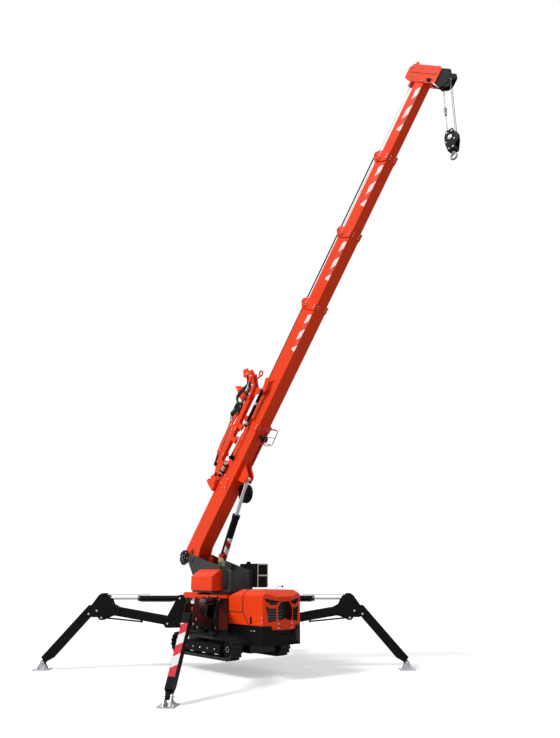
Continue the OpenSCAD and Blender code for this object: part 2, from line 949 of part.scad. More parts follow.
// Stowed jib: beam on three feet, top clevis, link to its strut and return pipe
module jib_beam() {
    color("#f04a12") at_boom() union() {
        span([jib_from, jib_out, jib_low], [jib_to, jib_in, jib_high]);
        for (u = jib_feet) span([u, jib_out + 4, boom_top], [u + 90, jib_in + 60, jib_low + weld]);
        upright(link_face, link_face + 18)
            polygon([[jib_to - 120, jib_low + 10], [jib_to - 20, jib_low - 40],
                [jib_link - 40, strut_w + 20], [jib_link - 40, strut_w - 34],
                [jib_link + 40, strut_w - 34], [jib_link + 40, strut_w + 40],
                [jib_to + 90, jib_low + 20], [jib_to - 60, jib_high - 10]]);
        upright(jib_out + clasp_in, jib_out - clasp_out) jib_ear_flat();
        upright(jib_in - clasp_in, jib_in + clasp_out) jib_ear_flat();
        for (u = jib_clasps)
            span([u, jib_out - clasp_out, jib_low - clasp_out],
                [u + clasp_len, jib_in + clasp_out, jib_high + jib_pipe_d + clasp_out]);
        translate([0, jib_mid, 0]) {
            cross_bar([jib_to + 215, jib_high + 130], 90, jib_in - jib_out + 10);
            translate([0, 0, jib_high + jib_pipe_d / 2 + 12])
                along_bar(jib_from + 120, jib_from + 860, jib_pipe_d);
            for (u = [jib_from + 180, jib_from + 760])
                span([u, -18, jib_high - weld], [u + 40, 18, jib_high + jib_pipe_d / 2]);
        }
        upright(jib_out + 4, jib_in + 40)
            polygon([[rest_from, boom_top], [rest_from + 210, boom_top],
                [rest_from + 180, boom_top + 120], [rest_from + 110, boom_top + 250],
                [rest_from + 40, boom_top + 270], [rest_from + 20, boom_top + 180]]);
    }
}

strut_rod_d = 28;
strut_foot = 2060;
strut_mid = 2730;
drive_from = 2770;
drive_to = 2950;

// Black strut beside the boom and the drive box on the jib
module jib_cylinder() {
    color("#1b1b1d") at_boom() {
        union() {
            translate([0, strut_y, strut_w]) {
                along_bar(strut_mid, jib_link, strut_d);
                cross_bar([jib_link, 0], strut_d, strut_d);
                along_bar(strut_foot, strut_mid + weld, strut_rod_d);
                cross_bar([strut_foot, 0], 60, 44);
            }
            span([strut_foot - 34, strut_y + 20, strut_w - 30],
                [strut_foot + 34, -boom_wide / 2, strut_w + 30]);
        }
        span([drive_from, jib_out - 20, jib_high], [drive_to, jib_in + 20, jib_high + 190]);
    }
}

module boom_head() {
    m = mouth_5;
    color("#f04a12") at_boom() union() {
        paired(head_half - head_plate, head_half)
            polygon([[m, head_low], [m + head_thick - 30, head_low], [m + head_thick, head_low + 40],
                [m + head_thick, head_top - 70], [m + head_thick - 60, head_top], [m + 40, head_top],
                [m, head_top - 110]]);
        for (u = [m, m + head_thick - head_plate])
            span([u, -head_half + weld, head_low + 130],
                [u + head_plate, head_half - weld, head_top - 130]);
        span([m + 45, -head_half + weld, head_top - head_plate - 2],
            [m + head_thick - 80, head_half - weld, head_top - 2]);
        difference() {
            span([m - 60, -30, rope_high - 25], [m + weld, 30, rope_high + 25]);
            translate([m - 70, 0, rope_high]) rotate([0, 90, 0]) cylinder(d = rope_d + 12, h = 80);
        }
    }
}

housing_out = head_half - head_plate;
housing_plate = 14;

// Black plates that carry the head sheave's axle
module head_housing() {
    color("#1b1b1d") at_boom() union() {
        paired(housing_out - housing_plate, housing_out)
            polygon([[mouth_5 + 20, head_low + 70], [mouth_5 - 30, head_low - 40],
                [mouth_5 - 10, housing_low + 60], [mouth_5 + 50, housing_low],
                [housing_far - housing_cut, housing_low], [housing_far, housing_low + housing_cut],
                [housing_far, head_low - 20], [mouth_5 + head_thick - 40, head_low + 70]]);
        cross_bar([axle_along, axle_low], axle_d, 2 * housing_out - 2);
    }
}

groove_r = sheave_d / 2 - rope_d / 2 - pad_play;
rim_r = sheave_d / 2 + 4;
fall_y = 20;
sheave_half = 38;

// Twin-groove sheave about y
module twin_sheave(bore) {
    floor_half = rope_d / 2 + 1;
    rotate([90, 0, 0]) rotate_extrude()
        polygon([[bore, -sheave_half], [rim_r, -sheave_half], [groove_r, -fall_y - floor_half],
            [groove_r, -fall_y + floor_half], [rim_r, -3], [rim_r, 3], [groove_r, fall_y - floor_half],
            [groove_r, fall_y + floor_half], [rim_r, sheave_half], [bore, sheave_half]]);
}

module head_sheaves() {
    color("#2a2a2c") at_boom() translate([axle_along, 0, axle_low]) twin_sheave(axle_d / 2 + pin_fit);
}

// Hook block, hanging plumb under the head sheave

block_high = 350;
block_half = 92;
block_brow = 55;
block_sheave_z = -block_drop - 130;
block_in = 44;
block_plate = 16;
block_neck = 55;
socket_top = -block_drop + 470;
socket_low = -block_drop + 340;

module at_hook() {
    translate([axle_x, 0, axle_z]) children();
}

// Two front falls on the grooves and the anchored fall with its wedge socket
module hoist_falls() {
    color("#6a6a6a") at_hook() {
        for (s = [-1, 1]) translate([sheave_d / 2, s * fall_y, block_sheave_z])
            cylinder(d = rope_d, h = -block_sheave_z);
        translate([-sheave_d / 2, fall_y, 0]) union() {
            translate([0, 0, block_sheave_z]) cylinder(d = rope_d, h = -block_sheave_z - 40);
            translate([0, 0, socket_low]) cylinder(d1 = 30, d2 = 52, h = socket_top - socket_low);
        }
    }
}

module hook_block() {
    color("#242426") at_hook() union() {
        paired(block_in, block_in + block_plate)
            polygon([[-block_brow, -block_drop], [block_brow, -block_drop],
                [block_half, block_sheave_z + 40], [block_half, block_sheave_z - 60],
                [block_neck, -block_drop - block_high], [-block_neck, -block_drop - block_high],
                [-block_half, block_sheave_z - 60], [-block_half, block_sheave_z + 40]]);
        span([-block_neck, -block_in - weld, -block_drop - block_high],
            [block_neck, block_in + weld, -block_drop - block_high + 60]);
        translate([0, 0, block_sheave_z]) twin_sheave(18);
        cross_bar([0, block_sheave_z], axle_d, 2 * block_in + weld);
    }
}

hook_r = 46;
hook_bar = 14;
hook_neck = 17;
hook_mid_z = -block_drop - block_high - 88;
mouth_from = 20;
mouth_to = 76;
mouth_mid = (mouth_from + mouth_to) / 2;

module hook() {
    color("#303030") at_hook() union() {
        translate([0, 0, hook_mid_z + hook_r - 8])
            cylinder(r = hook_neck, h = 8 - block_drop - block_high - hook_mid_z - hook_r);
        difference() {
            translate([0, 0, hook_mid_z]) rotate([90, 0, 0]) rotate_extrude() translate([hook_r, 0])
                circle(hook_bar);
            upright(-2 * hook_bar, 2 * hook_bar) translate([0, hook_mid_z])
                polygon([[0, 0], 2 * hook_r * [cos(mouth_from), sin(mouth_from)],
                    3 * hook_r * [cos(mouth_mid), sin(mouth_mid)],
                    2 * hook_r * [cos(mouth_to), sin(mouth_to)]]);
        }
    }
}

// Outriggers, drawn in the leg plane

module at_arm() {
    translate([root_at[0], 0, root_at[1]]) rotate([0, -arm_slope, 0]) children();
}

module at_tube() {
    translate([tube_at[0], 0, tube_at[1]]) rotate([0, -tube_slope, 0]) children();
}

module at_knee() {
    translate([knee_at[0], 0, knee_at[1]]) rotate([0, leg_slope, 0]) children();
}

bracket_out = bracket_gap / 2 + bracket_plate;
post_r = 58;
root_boss = 68;
tube_boss = 58;
web_len = 80;
web_in = 12;

module leg_bracket() {
    union() {
        translate([0, 0, swing_low + post_play]) cylinder(r = post_r, h = swing_tall - 2 * post_play);
        span([0, -bracket_out + weld, swing_low + web_in],
            [web_len, bracket_out - weld, swing_low + swing_tall - web_in]);
        paired(bracket_gap / 2, bracket_out) {
            polygon([[40, swing_low + web_in], [root_at[0], root_at[1] - root_boss],
                [root_at[0] + 60, root_at[1] + 32], [tube_at[0] + tube_boss, tube_at[1]],
                [tube_at[0], tube_at[1] + tube_boss], [40, swing_low + swing_tall - web_in]]);
            translate(root_at) circle(root_boss);
            translate(tube_at) circle(tube_boss);
        }
        for (p = [root_at, tube_at]) cross_bar(p, leg_pin, 2 * (bracket_out + pin_head));
        translate([0, 0, swing_low - ear_thick]) cylinder(d = swing_pin, h = swing_tall + 2 * ear_thick);
    }
}

knee_plate = 15;
arm_back = 70;
arm_short = 75;
root_cut = 60;
stay_d = 26;
foot_half = 28;
foot_pin = 30;
foot_lug = 42;
knee_past = 20;
knee_boss = 48;
heel_cut = 60;
toe_cut = 170;
toe_gap = 46;
toe_half = 30;
lug_len = 90;
lug_half = 36;

module knee_flat() {
    polygon([rod_at + [-230, -152], rod_at + [-232, -275], stay_at + [-187, 30], stay_at + [-60, -20],
        stay_at + [-30, -38], stay_at + [30, -38], stay_at + [70, 10], lock_at + [-60, -54],
        lock_at + [45, -14], lock_at + [35, 51], knee_at + [-3, 249], rod_at + [106, 85],
        rod_at + [36, 85], rod_at + [-54, 23], rod_at + [-114, -97]]);
}

// Arm box with knee plates, their pins and the stay rod below
module leg_arm() {
    half = arm_wide / 2;
    low = arm_rise - arm_deep / 2;
    high = arm_rise + arm_deep / 2;
    stay_len = norm(stay_at - stay_root);
    stay_turn = atan2(stay_at[1] - stay_root[1], stay_at[0] - stay_root[0]);
    difference() {
        union() {
            at_arm() upright(-half, half)
                polygon([[-arm_back, low], [arm_len - arm_short, low], [arm_len - arm_short, high],
                    [root_cut, high], [-arm_back, high - root_cut]]);
            paired(half, half + knee_plate) knee_flat();
            for (p = [knee_at, stay_at]) cross_bar(p, leg_pin, arm_wide + 2 * (knee_plate + pin_head));
            paired(half + knee_plate - weld, half + knee_plate + pin_head) translate(lock_at)
                circle(d = leg_pin);
            translate([stay_root[0], 0, stay_root[1]]) rotate([0, -stay_turn, 0])
                along_bar(0, stay_len, stay_d);
            span([stay_root[0] - 16, -16, stay_root[1] - 16], [stay_root[0] + 16, 16, stay_root[1] + 60]);
        }
        cross_bar(root_at, leg_pin + 2 * pin_fit, arm_wide + 20);
    }
}

module leg_outer() {
    half = leg_wide / 2;
    inner = leg_mid - leg_deep / 2;
    outer = leg_mid + leg_deep / 2;
    at_knee() difference() {
        union() {
            upright(-half, half) {
                polygon([[-knee_past, inner], [leg_run - toe_cut, inner],
                    [leg_run - toe_gap, leg_mid - toe_half], [leg_run - toe_gap, outer],
                    [heel_cut - knee_past, outer], [-knee_past, outer - heel_cut]]);
                circle(knee_boss);
            }
            upright(-foot_half, foot_half) {
                translate([leg_run - lug_len, leg_mid - lug_half]) square([lug_len, 2 * lug_half]);
                translate([leg_run, leg_mid]) circle(foot_lug);
            }
        }
        cross_bar([0, 0], leg_pin + 2 * pin_fit, arm_wide);
        cross_bar([leg_run, leg_mid], foot_pin + 2 * pin_fit, arm_wide);
    }
}

tube_len = 740;
tube_floor = 90;
rod_in = 590;
rod_eye_d = 80;
rod_eye_wide = 60;
pipe_d = 16;
pipe_high = leg_tube / 2 + 18;
pipe_len = 740;

module leg_barrel() {
    at_tube() difference() {
        union() {
            along_bar(0, tube_len, leg_tube);
            cross_bar([0, 0], leg_tube - 4, 80);
        }
        cross_bar([0, 0], leg_pin + 2 * pin_fit, 100);
        along_bar(tube_floor, tube_len + over, leg_rod_d + 2 * pin_fit);
    }
}

// Rod with its eye and the pipe that rides above the tube
module leg_rod() {
    at_tube() union() {
        along_bar(tube_reach - rod_in, tube_reach, leg_rod_d);
        cross_bar([tube_reach, 0], rod_eye_d, rod_eye_wide);
        translate([0, 0, pipe_high]) along_bar(tube_reach - pipe_len, tube_reach + 20, pipe_d);
        span([tube_reach - 14, -12, 0], [tube_reach + 14, 12, pipe_high]);
    }
}

pad_thick = 14;
cheek_low = pad_thick - weld;
pad_cheek = 34;
pad_cheek_out = 50;
rib_half = 7;

// Square pad with a clevis and four gussets
module leg_pad() {
    translate([foot_at[0], 0, 0]) union() {
        span([-pad_len / 2, -pad_wide / 2, 0], [pad_len / 2, pad_wide / 2, pad_thick]);
        paired(pad_cheek, pad_cheek_out) {
            polygon([[-95, cheek_low], [95, cheek_low], [33, foot_high], [-33, foot_high]]);
            translate([0, foot_high]) circle(34);
        }
        for (x = [-60, 60], s = [-1, 1]) translate([x - rib_half, 0, 0]) rotate([90, 0, 90])
            linear_extrude(2 * rib_half)
            polygon([[s * (pad_cheek_out - weld), cheek_low], [s * (pad_wide / 2 - 6), cheek_low],
                [s * (pad_cheek_out - weld), 58]]);
        cross_bar([0, foot_high], foot_pin, 2 * (pad_cheek_out + pin_head));
    }
}

module bracket_fl() {
    color("#1d1d1f") at_leg(true, true) leg_bracket();
}

module bracket_fr() {
    color("#1d1d1f") at_leg(true, false) leg_bracket();
}

module bracket_rl() {
    color("#1d1d1f") at_leg(false, true) leg_bracket();
}

module bracket_rr() {
    color("#1d1d1f") at_leg(false, false) leg_bracket();
}

module arm_fl() {
    color("#1d1d1f") at_leg(true, true) leg_arm();
}

module arm_fr() {
    color("#1d1d1f") at_leg(true, false) leg_arm();
}

module arm_rl() {
    color("#1d1d1f") at_leg(false, true) leg_arm();
}

module arm_rr() {
    color("#1d1d1f") at_leg(false, false) leg_arm();
}

module leg_fl() {
    color("#1d1d1f") at_leg(true, true) leg_outer();
}

module leg_fr() {
    color("#1d1d1f") at_leg(true, false) leg_outer();
}

module leg_rl() {
    color("#1d1d1f") at_leg(false, true) leg_outer();
}

module leg_rr() {
    color("#1d1d1f") at_leg(false, false) leg_outer();
}

module barrel_fl() {
    color("#1d1d1f") at_leg(true, true) leg_barrel();
}

module barrel_fr() {
    color("#1d1d1f") at_leg(true, false) leg_barrel();
}

module barrel_rl() {
    color("#1d1d1f") at_leg(false, true) leg_barrel();
}

module barrel_rr() {
    color("#1d1d1f") at_leg(false, false) leg_barrel();
}

module rod_fl() {
    color("#d8dade") at_leg(true, true) leg_rod();
}

module rod_fr() {
    color("#d8dade") at_leg(true, false) leg_rod();
}

module rod_rl() {
    color("#d8dade") at_leg(false, true) leg_rod();
}

module rod_rr() {
    color("#d8dade") at_leg(false, false) leg_rod();
}

module pad_fl() {
    color("#a9acb0") at_leg(true, true) leg_pad();
}

module pad_fr() {
    color("#a9acb0") at_leg(true, false) leg_pad();
}

module pad_rl() {
    color("#a9acb0") at_leg(false, true) leg_pad();
}

module pad_rr() {
    color("#a9acb0") at_leg(false, false) leg_pad();
}

ground() {
    chassis_frame();
    track_left();
    track_right();
    track_frame_left();
    track_frame_right();
    hood_rear();
    bumper();
    engine();
    valve_bank();
    rear_cover();
    hood_front();
    hood_grille();
    turret_frame();
    side_cover();
    oil_tank();
    signal_tower();
    lift_barrel();
    lift_rod();
    boom_base();
    winch();
    cable_reel();
    work_lamp();
    jib_beam();
    jib_cylinder();
    boom_2();
    boom_3();
    boom_4();
    boom_5();
    boom_head();
    head_housing();
    head_sheaves();
    hoist_falls();
    hook_block();
    hook();
    bracket_fl();
    bracket_fr();
    bracket_rl();
    bracket_rr();
    arm_fl();
    arm_fr();
    arm_rl();
    arm_rr();
    leg_fl();
    leg_fr();
    leg_rl();
    leg_rr();
    barrel_fl();
    barrel_fr();
    barrel_rl();
    barrel_rr();
    rod_fl();
    rod_fr();
    rod_rl();
    rod_rr();
    pad_fl();
    pad_fr();
    pad_rl();
    pad_rr();
}
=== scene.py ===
"""Looks of a compact crawler crane that stands on four folding outriggers."""

import json

import bpy
import numpy as np
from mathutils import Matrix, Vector


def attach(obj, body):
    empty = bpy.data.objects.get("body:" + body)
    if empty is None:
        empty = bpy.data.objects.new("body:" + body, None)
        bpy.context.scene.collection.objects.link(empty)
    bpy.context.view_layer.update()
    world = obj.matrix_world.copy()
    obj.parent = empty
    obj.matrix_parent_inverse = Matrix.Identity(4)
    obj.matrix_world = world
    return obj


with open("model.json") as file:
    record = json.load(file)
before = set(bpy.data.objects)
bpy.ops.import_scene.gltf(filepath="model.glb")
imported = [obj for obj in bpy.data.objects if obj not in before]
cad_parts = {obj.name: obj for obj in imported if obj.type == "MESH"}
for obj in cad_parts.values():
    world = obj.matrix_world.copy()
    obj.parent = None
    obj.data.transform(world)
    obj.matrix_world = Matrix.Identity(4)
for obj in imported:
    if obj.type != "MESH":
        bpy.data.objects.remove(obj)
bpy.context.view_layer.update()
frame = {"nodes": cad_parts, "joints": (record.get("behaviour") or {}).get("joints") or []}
joints = {joint["name"]: joint for joint in frame["joints"]}
LEGS = ("fl", "fr", "rl", "rr")
SIDES = (("right", -1), ("left", 1))
UP = np.array([0.0, 0.0, 1.0])
AHEAD = np.array([1.0, 0.0, 0.0])
ACROSS = np.array([0.0, 1.0, 0.0])
# Signs of four corners
CORNER_ACROSS = np.array([-1, 1, -1, 1])
CORNER_UP = np.array([-1, -1, 1, 1])
# Thickness of the striped tapes
SHEET = 0.0008
# Sizes of screw and pin heads, and radii of hoses and pipes
SMALL_SCREW, SCREW, PIN_HEAD = 0.012, 0.014, 0.020
HOSE, PIPE = 0.009, 0.007
# Radius and height of a small ball for a knob, pole to pole
BALL_TURN = np.linspace(-0.47, 0.47, 9) * np.pi
BALL = np.stack([np.cos(BALL_TURN), np.sin(BALL_TURN)], axis=-1)


# Frames taken from the joints

SLEW = np.array(joints["slew"]["pos_m"])
PIVOT = np.array(joints["luff"]["pos_m"])
ALONG = np.array(joints["tele_two"]["axis"])
RISE = np.cross(ALONG, ACROSS)


def machine(x, y, z):
    """Points measured from the slew axis on the ground, moved into the part's frame."""
    x, y, z = np.broadcast_arrays(x, y, z)
    return np.stack([x + SLEW[0], y + 0.0, z + 0.0], axis=-1)


def boom(u, w, y):
    """Points at u along the boom, w above the pivot line and y to the left."""
    u, w, y = np.broadcast_arrays(u, w, y)
    return PIVOT + u[..., None] * ALONG + w[..., None] * RISE + y[..., None] * ACROSS


def leg_axes(name):
    """Foot of an outrigger's swing axis, its outward direction and its left side."""
    post = np.array(joints["swing_" + name]["pos_m"])
    side = -np.array(joints["raise_" + name]["axis"])
    out = np.cross(side, UP)
    return post * (1, 1, 0), out, side


def leg(name, r, z, y):
    """Points of an outrigger's plane: r out from the swing axis, z up, y to its left."""
    post, out, side = leg_axes(name)
    r, z, y = np.broadcast_arrays(r, z, y)
    return post + r[..., None] * out + z[..., None] * UP + y[..., None] * side


# Materials

def finish_of(name, roughness, metallic=0.0, coat=0.0, shine=0.5):
    """A principled material with its tree, shader and object coordinates."""
    made = bpy.data.materials.new(name)
    made.use_nodes = True
    tree = made.node_tree
    shader = tree.nodes["Principled BSDF"]
    shader.inputs["Roughness"].default_value = roughness
    shader.inputs["Metallic"].default_value = metallic
    shader.inputs["Specular IOR Level"].default_value = shine
    shader.inputs["Coat Weight"].default_value = coat
    shader.inputs["Coat Roughness"].default_value = 0.12
    place = tree.nodes.new("ShaderNodeTexCoord").outputs["Object"]
    return made, tree, shader, place


def speckle(tree, place, scale, detail=3.0):
    """Soft noise over the object's own coordinates."""
    node = tree.nodes.new("ShaderNodeTexNoise")
    node.inputs["Scale"].default_value = scale
    node.inputs["Detail"].default_value = detail
    tree.links.new(place, node.inputs["Vector"])
    return node.outputs["Fac"]


def shades(tree, value, *stops):
    """A colour ramp over a value; each stop is a place and an r, g, b colour."""
    node = tree.nodes.new("ShaderNodeValToRGB")
    ramp = node.color_ramp
    while len(ramp.elements) < len(stops):
        ramp.elements.new(0.5)
    for element, (at, colour) in zip(ramp.elements, stops):
        element.position = at
        element.color = (*colour, 1.0)
    tree.links.new(value, node.inputs["Fac"])
    return node.outputs["Color"]


def sums(tree, operation, a, b):
    """One arithmetic step on two sockets or numbers."""
    node = tree.nodes.new("ShaderNodeMath")
    node.operation = operation
    for socket, value in zip(node.inputs, (a, b)):
        if isinstance(value, (int, float)):
            socket.default_value = value
        else:
            tree.links.new(value, socket)
    return node.outputs["Value"]


def blend_colours(tree, share, low, high):
    """Two colour sockets mixed by a share from 0 to 1."""
    node = tree.nodes.new("ShaderNodeMix")
    node.data_type = "RGBA"
    tree.links.new(share, node.inputs["Factor"])
    for socket, value in ((node.inputs["A"], low), (node.inputs["B"], high)):
        tree.links.new(value, socket)
    return node.outputs["Result"]


def soft_edges(tree, radius):
    """Shading normal rounded at sharp edges, and a mask that is 1 on those edges."""
    bevel = tree.nodes.new("ShaderNodeBevel")
    bevel.inputs["Radius"].default_value = radius
    flat = tree.nodes.new("ShaderNodeNewGeometry").outputs["True Normal"]
    dot = tree.nodes.new("ShaderNodeVectorMath")
    dot.operation = "DOT_PRODUCT"
    tree.links.new(bevel.outputs["Normal"], dot.inputs[0])
    tree.links.new(flat, dot.inputs[1])
    return bevel.outputs["Normal"], sums(tree, "SUBTRACT", 1.0, dot.outputs["Value"])


def grainy(tree, shader, place, normal, scale, strength, depth):
    """Fine bump over a rounded normal."""
    bump = tree.nodes.new("ShaderNodeBump")
    bump.inputs["Strength"].default_value = strength
    bump.inputs["Distance"].default_value = depth
    tree.links.new(speckle(tree, place, scale, 2.0), bump.inputs["Height"])
    tree.links.new(normal, bump.inputs["Normal"])
    tree.links.new(bump.outputs["Normal"], shader.inputs["Normal"])


def paint(name, colour, roughness, wear_and_highlight, coat=0.05, shine=0.2, peel=0.12):
    """Sprayed paint: cloudy colour, orange-peel bump, and sharp edges in noisy patches moved towards an edge
    colour that is partly wear and partly a painted highlight along the edges.
    """
    made, tree, shader, place = finish_of(name, roughness, coat=coat, shine=shine)
    base = np.array(colour)
    cloud = shades(tree, speckle(tree, place, 2.2), (0.3, base * 0.93), (0.7, np.minimum(base * 1.05, 1)))
    wear_and_highlight_patches = shades(tree, speckle(tree, place, 35.0), (0.45, (0, 0, 0)), (0.75, (1, 1, 1)))
    normal, edge = soft_edges(tree, 0.006)
    share = sums(tree, "MULTIPLY", sums(tree, "MINIMUM", sums(tree, "MULTIPLY", edge, 2.5), 1.0), wear_and_highlight_patches)
    # Edge colour: partly wear, partly painted highlight on the edges
    wear_and_highlight_tone = shades(tree, speckle(tree, place, 80.0), (0.4, np.array(wear_and_highlight) * 0.8), (0.6, wear_and_highlight))
    tree.links.new(blend_colours(tree, share, cloud, wear_and_highlight_tone), shader.inputs["Base Color"])
    grainy(tree, shader, place, normal, 260.0, peel, 0.0006)
    return made


def metal(name, colour, roughness, scale=60.0):
    """Bare metal with cloudy roughness and fine grain."""
    made, tree, shader, place = finish_of(name, roughness, metallic=1.0)
    base = np.array(colour)
    tree.links.new(shades(tree, speckle(tree, place, scale), (0.3, base * 0.85), (0.7, base)),
                   shader.inputs["Base Color"])
    haze = shades(tree, speckle(tree, place, scale * 3),
                  (0.3, (roughness * 0.7,) * 3), (0.7, (roughness * 1.3,) * 3))
    tree.links.new(haze, shader.inputs["Roughness"])
    normal, _ = soft_edges(tree, 0.002)
    grainy(tree, shader, place, normal, 500.0, 0.06, 0.0003)
    return made


def rubber(name, colour):
    """Matt rubber with dust in its pores."""
    made, tree, shader, place = finish_of(name, 0.82)
    base = np.array(colour)
    dust = shades(tree, speckle(tree, place, 14.0, 6.0),
                  (0.35, base), (0.62, base * 1.6), (0.8, base * 3.0 + 0.02))
    tree.links.new(dust, shader.inputs["Base Color"])
    normal, _ = soft_edges(tree, 0.004)
    grainy(tree, shader, place, normal, 180.0, 0.35, 0.001)
    return made


BLACK = (0.0045, 0.0043, 0.0043)
DARK_RED = (0.13, 0.009, 0.006)
# The third colour of each paint goes on its sharp edges: partly wear, and where it is lighter than the paint,
# a painted highlight along the edges
orange = paint("orange_enamel", (0.90, 0.050, 0.0035), 0.4, (0.62, 0.16, 0.09))
black = paint("black_enamel", BLACK, 0.45, (0.09, 0.085, 0.08), coat=0.0, shine=0.1)
charcoal = paint("charcoal_enamel", (0.036, 0.036, 0.038), 0.45, (0.24, 0.24, 0.24))
oxide = paint("dark_red_enamel", DARK_RED, 0.45, (0.25, 0.1, 0.08))
guard_red = paint("guard_enamel", (0.42, 0.02, 0.05), 0.4, (0.5, 0.3, 0.3))
lamp_red = paint("lamp_red", (0.55, 0.012, 0.012), 0.2, (0.6, 0.1, 0.1), shine=0.5)
white = paint("white_enamel", (0.80, 0.79, 0.77), 0.4, (0.5, 0.48, 0.46))
chrome = metal("hard_chrome", (0.86, 0.87, 0.89), 0.13)
zinc = metal("galvanised_plate", (0.62, 0.64, 0.66), 0.42, 25.0)
wire = metal("wire_rope", (0.30, 0.30, 0.31), 0.5)
steel = metal("dark_steel", (0.16, 0.16, 0.17), 0.38)
casting = metal("cast_grey", (0.32, 0.32, 0.33), 0.6)
tread = rubber("track_rubber", (0.0075, 0.0075, 0.008))
hose_skin = rubber("hose_rubber", (0.009, 0.009, 0.0095))


def stripes(name, first, second, pitch, lean):
    """Slanted stripes in a tape's own flat map: first where the fraction of (u + lean v) / pitch is low."""
    made, tree, shader, place = finish_of(name, 0.45, shine=0.25)
    flat = tree.nodes.new("ShaderNodeUVMap")
    flat.uv_map = "tape"
    split = tree.nodes.new("ShaderNodeSeparateXYZ")
    tree.links.new(flat.outputs["UV"], split.inputs["Vector"])
    slant = sums(tree, "ADD", split.outputs["X"], sums(tree, "MULTIPLY", split.outputs["Y"], lean))
    part = sums(tree, "FRACT", sums(tree, "DIVIDE", slant, pitch), 0.0)
    soil = speckle(tree, place, 30.0, 5.0)
    tones = [shades(tree, soil, (0.3, np.array(c) * 0.86), (0.6, c)) for c in (first, second)]
    second_half = sums(tree, "GREATER_THAN", part, 0.5)
    tree.links.new(blend_colours(tree, second_half, *tones), shader.inputs["Base Color"])
    return made


def banded(name, *bands):
    """Colours stacked by height; each band is its lower edge in metres and a colour."""
    made, tree, shader, place = finish_of(name, 0.3, shine=0.4)
    split = tree.nodes.new("ShaderNodeSeparateXYZ")
    tree.links.new(place, split.inputs["Vector"])
    soil = speckle(tree, place, 40.0)
    tone = None
    for low, colour in bands:
        fresh = shades(tree, soil, (0.3, np.array(colour) * 0.85), (0.7, colour))
        over = sums(tree, "GREATER_THAN", split.outputs["Z"], low)
        tone = fresh if tone is None else blend_colours(tree, over, tone, fresh)
    tree.links.new(tone, shader.inputs["Base Color"])
    return made


TAPE_WHITE = (0.85, 0.83, 0.81)
LEG_RED = (0.70, 0.035, 0.05)
boom_stripes = stripes("boom_stripes", (0.78, 0.085, 0.055), TAPE_WHITE, 0.31, 1.0)
lift_stripes = stripes("lift_stripes", (0.42, 0.006, 0.016), TAPE_WHITE, 0.22, 0.8)
leg_stripes_left = stripes("leg_stripes_left", LEG_RED, TAPE_WHITE, 0.32, -0.57)
leg_stripes_right = stripes("leg_stripes_right", LEG_RED, TAPE_WHITE, 0.32, 0.57)
leg_stripes = dict(fl=leg_stripes_left, fr=leg_stripes_right, rl=leg_stripes_left, rr=leg_stripes_right)
lamp_stack = banded("lamp_stack", (0.0, (0.01, 0.01, 0.01)), (1.675, (0.02, 0.16, 0.03)),
                    (1.742, (0.85, 0.42, 0.02)), (1.808, (0.55, 0.012, 0.02)))
chassis_coat = banded("chassis_coat", (-9.0, BLACK), (0.66, DARK_RED))
lens_glass = metal("lamp_lens", (0.82, 0.86, 0.9), 0.2)

# Slot of each finish that scene pieces wear
SLOT_OF = {finish.name: slot for slot, finishes in (
    ("orange_paint", (orange,)), ("black_paint", (black,)), ("galvanised", (zinc, white)),
    ("track_rubber", (hose_skin,)), ("dark_steel", (steel, wire)), ("chrome_rod", (chrome,)),
    ("dark_red_paint", (guard_red,)), ("lamp_plastic", (lens_glass, lamp_red)),
    ("striped_paint", (boom_stripes, lift_stripes, leg_stripes_left, leg_stripes_right)),
) for finish in finishes}


def coat_nodes(finish, *names):
    """Puts one finish on CAD nodes."""
    for name in names:
        slots = frame["nodes"][name].data.materials
        slots.clear()
        slots.append(finish)


def legs_of(*stems):
    """Node names of one or more pieces of all four outriggers."""
    return [stem + "_" + name for stem in stems for name in LEGS]


coat_nodes(orange, "hood_rear", "hood_front", "rear_cover", "side_cover", "boom_base", "boom_2", "boom_3",
           "boom_4", "boom_5", "boom_head", "jib_beam")
coat_nodes(chassis_coat, "chassis_frame")
coat_nodes(black, "bumper", "track_frame_left", "track_frame_right", "valve_bank", "winch", "cable_reel",
           "hood_grille", "head_housing", "jib_cylinder", "work_lamp", "hook_block", "oil_tank",
           "lift_barrel", *legs_of("bracket", "arm", "leg", "barrel"))
coat_nodes(charcoal, "turret_frame")
coat_nodes(tread, "track_left", "track_right")
coat_nodes(casting, "engine")
coat_nodes(chrome, "lift_rod", *legs_of("rod"))
coat_nodes(zinc, *legs_of("pad"))
coat_nodes(steel, "head_sheaves", "hoist_falls", "hook")
coat_nodes(lamp_stack, "signal_tower")


# Shapes

def piece(name, points, faces, body, finish, smooth=False, slot=None, flat_map=None):
    """One mesh riding on a body; flat_map gives each point's place on a tape, in metres."""
    slot = slot or SLOT_OF[finish.name]
    mesh = bpy.data.meshes.new(name)
    mesh.from_pydata(np.asarray(points).reshape(-1, 3).tolist(), [], faces)
    if flat_map is not None:
        corners = np.zeros(len(mesh.loops), np.int32)
        mesh.loops.foreach_get("vertex_index", corners)
        layer = mesh.uv_layers.new(name="tape")
        layer.data.foreach_set("uv", np.asarray(flat_map, np.float32).reshape(-1, 2)[corners].ravel())
    mesh.polygons.foreach_set("use_smooth", np.full(len(mesh.polygons), smooth))
    mesh.materials.append(finish)
    made = bpy.data.objects.new(name, mesh)
    bpy.context.scene.collection.objects.link(made)
    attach(made, body)
    return made


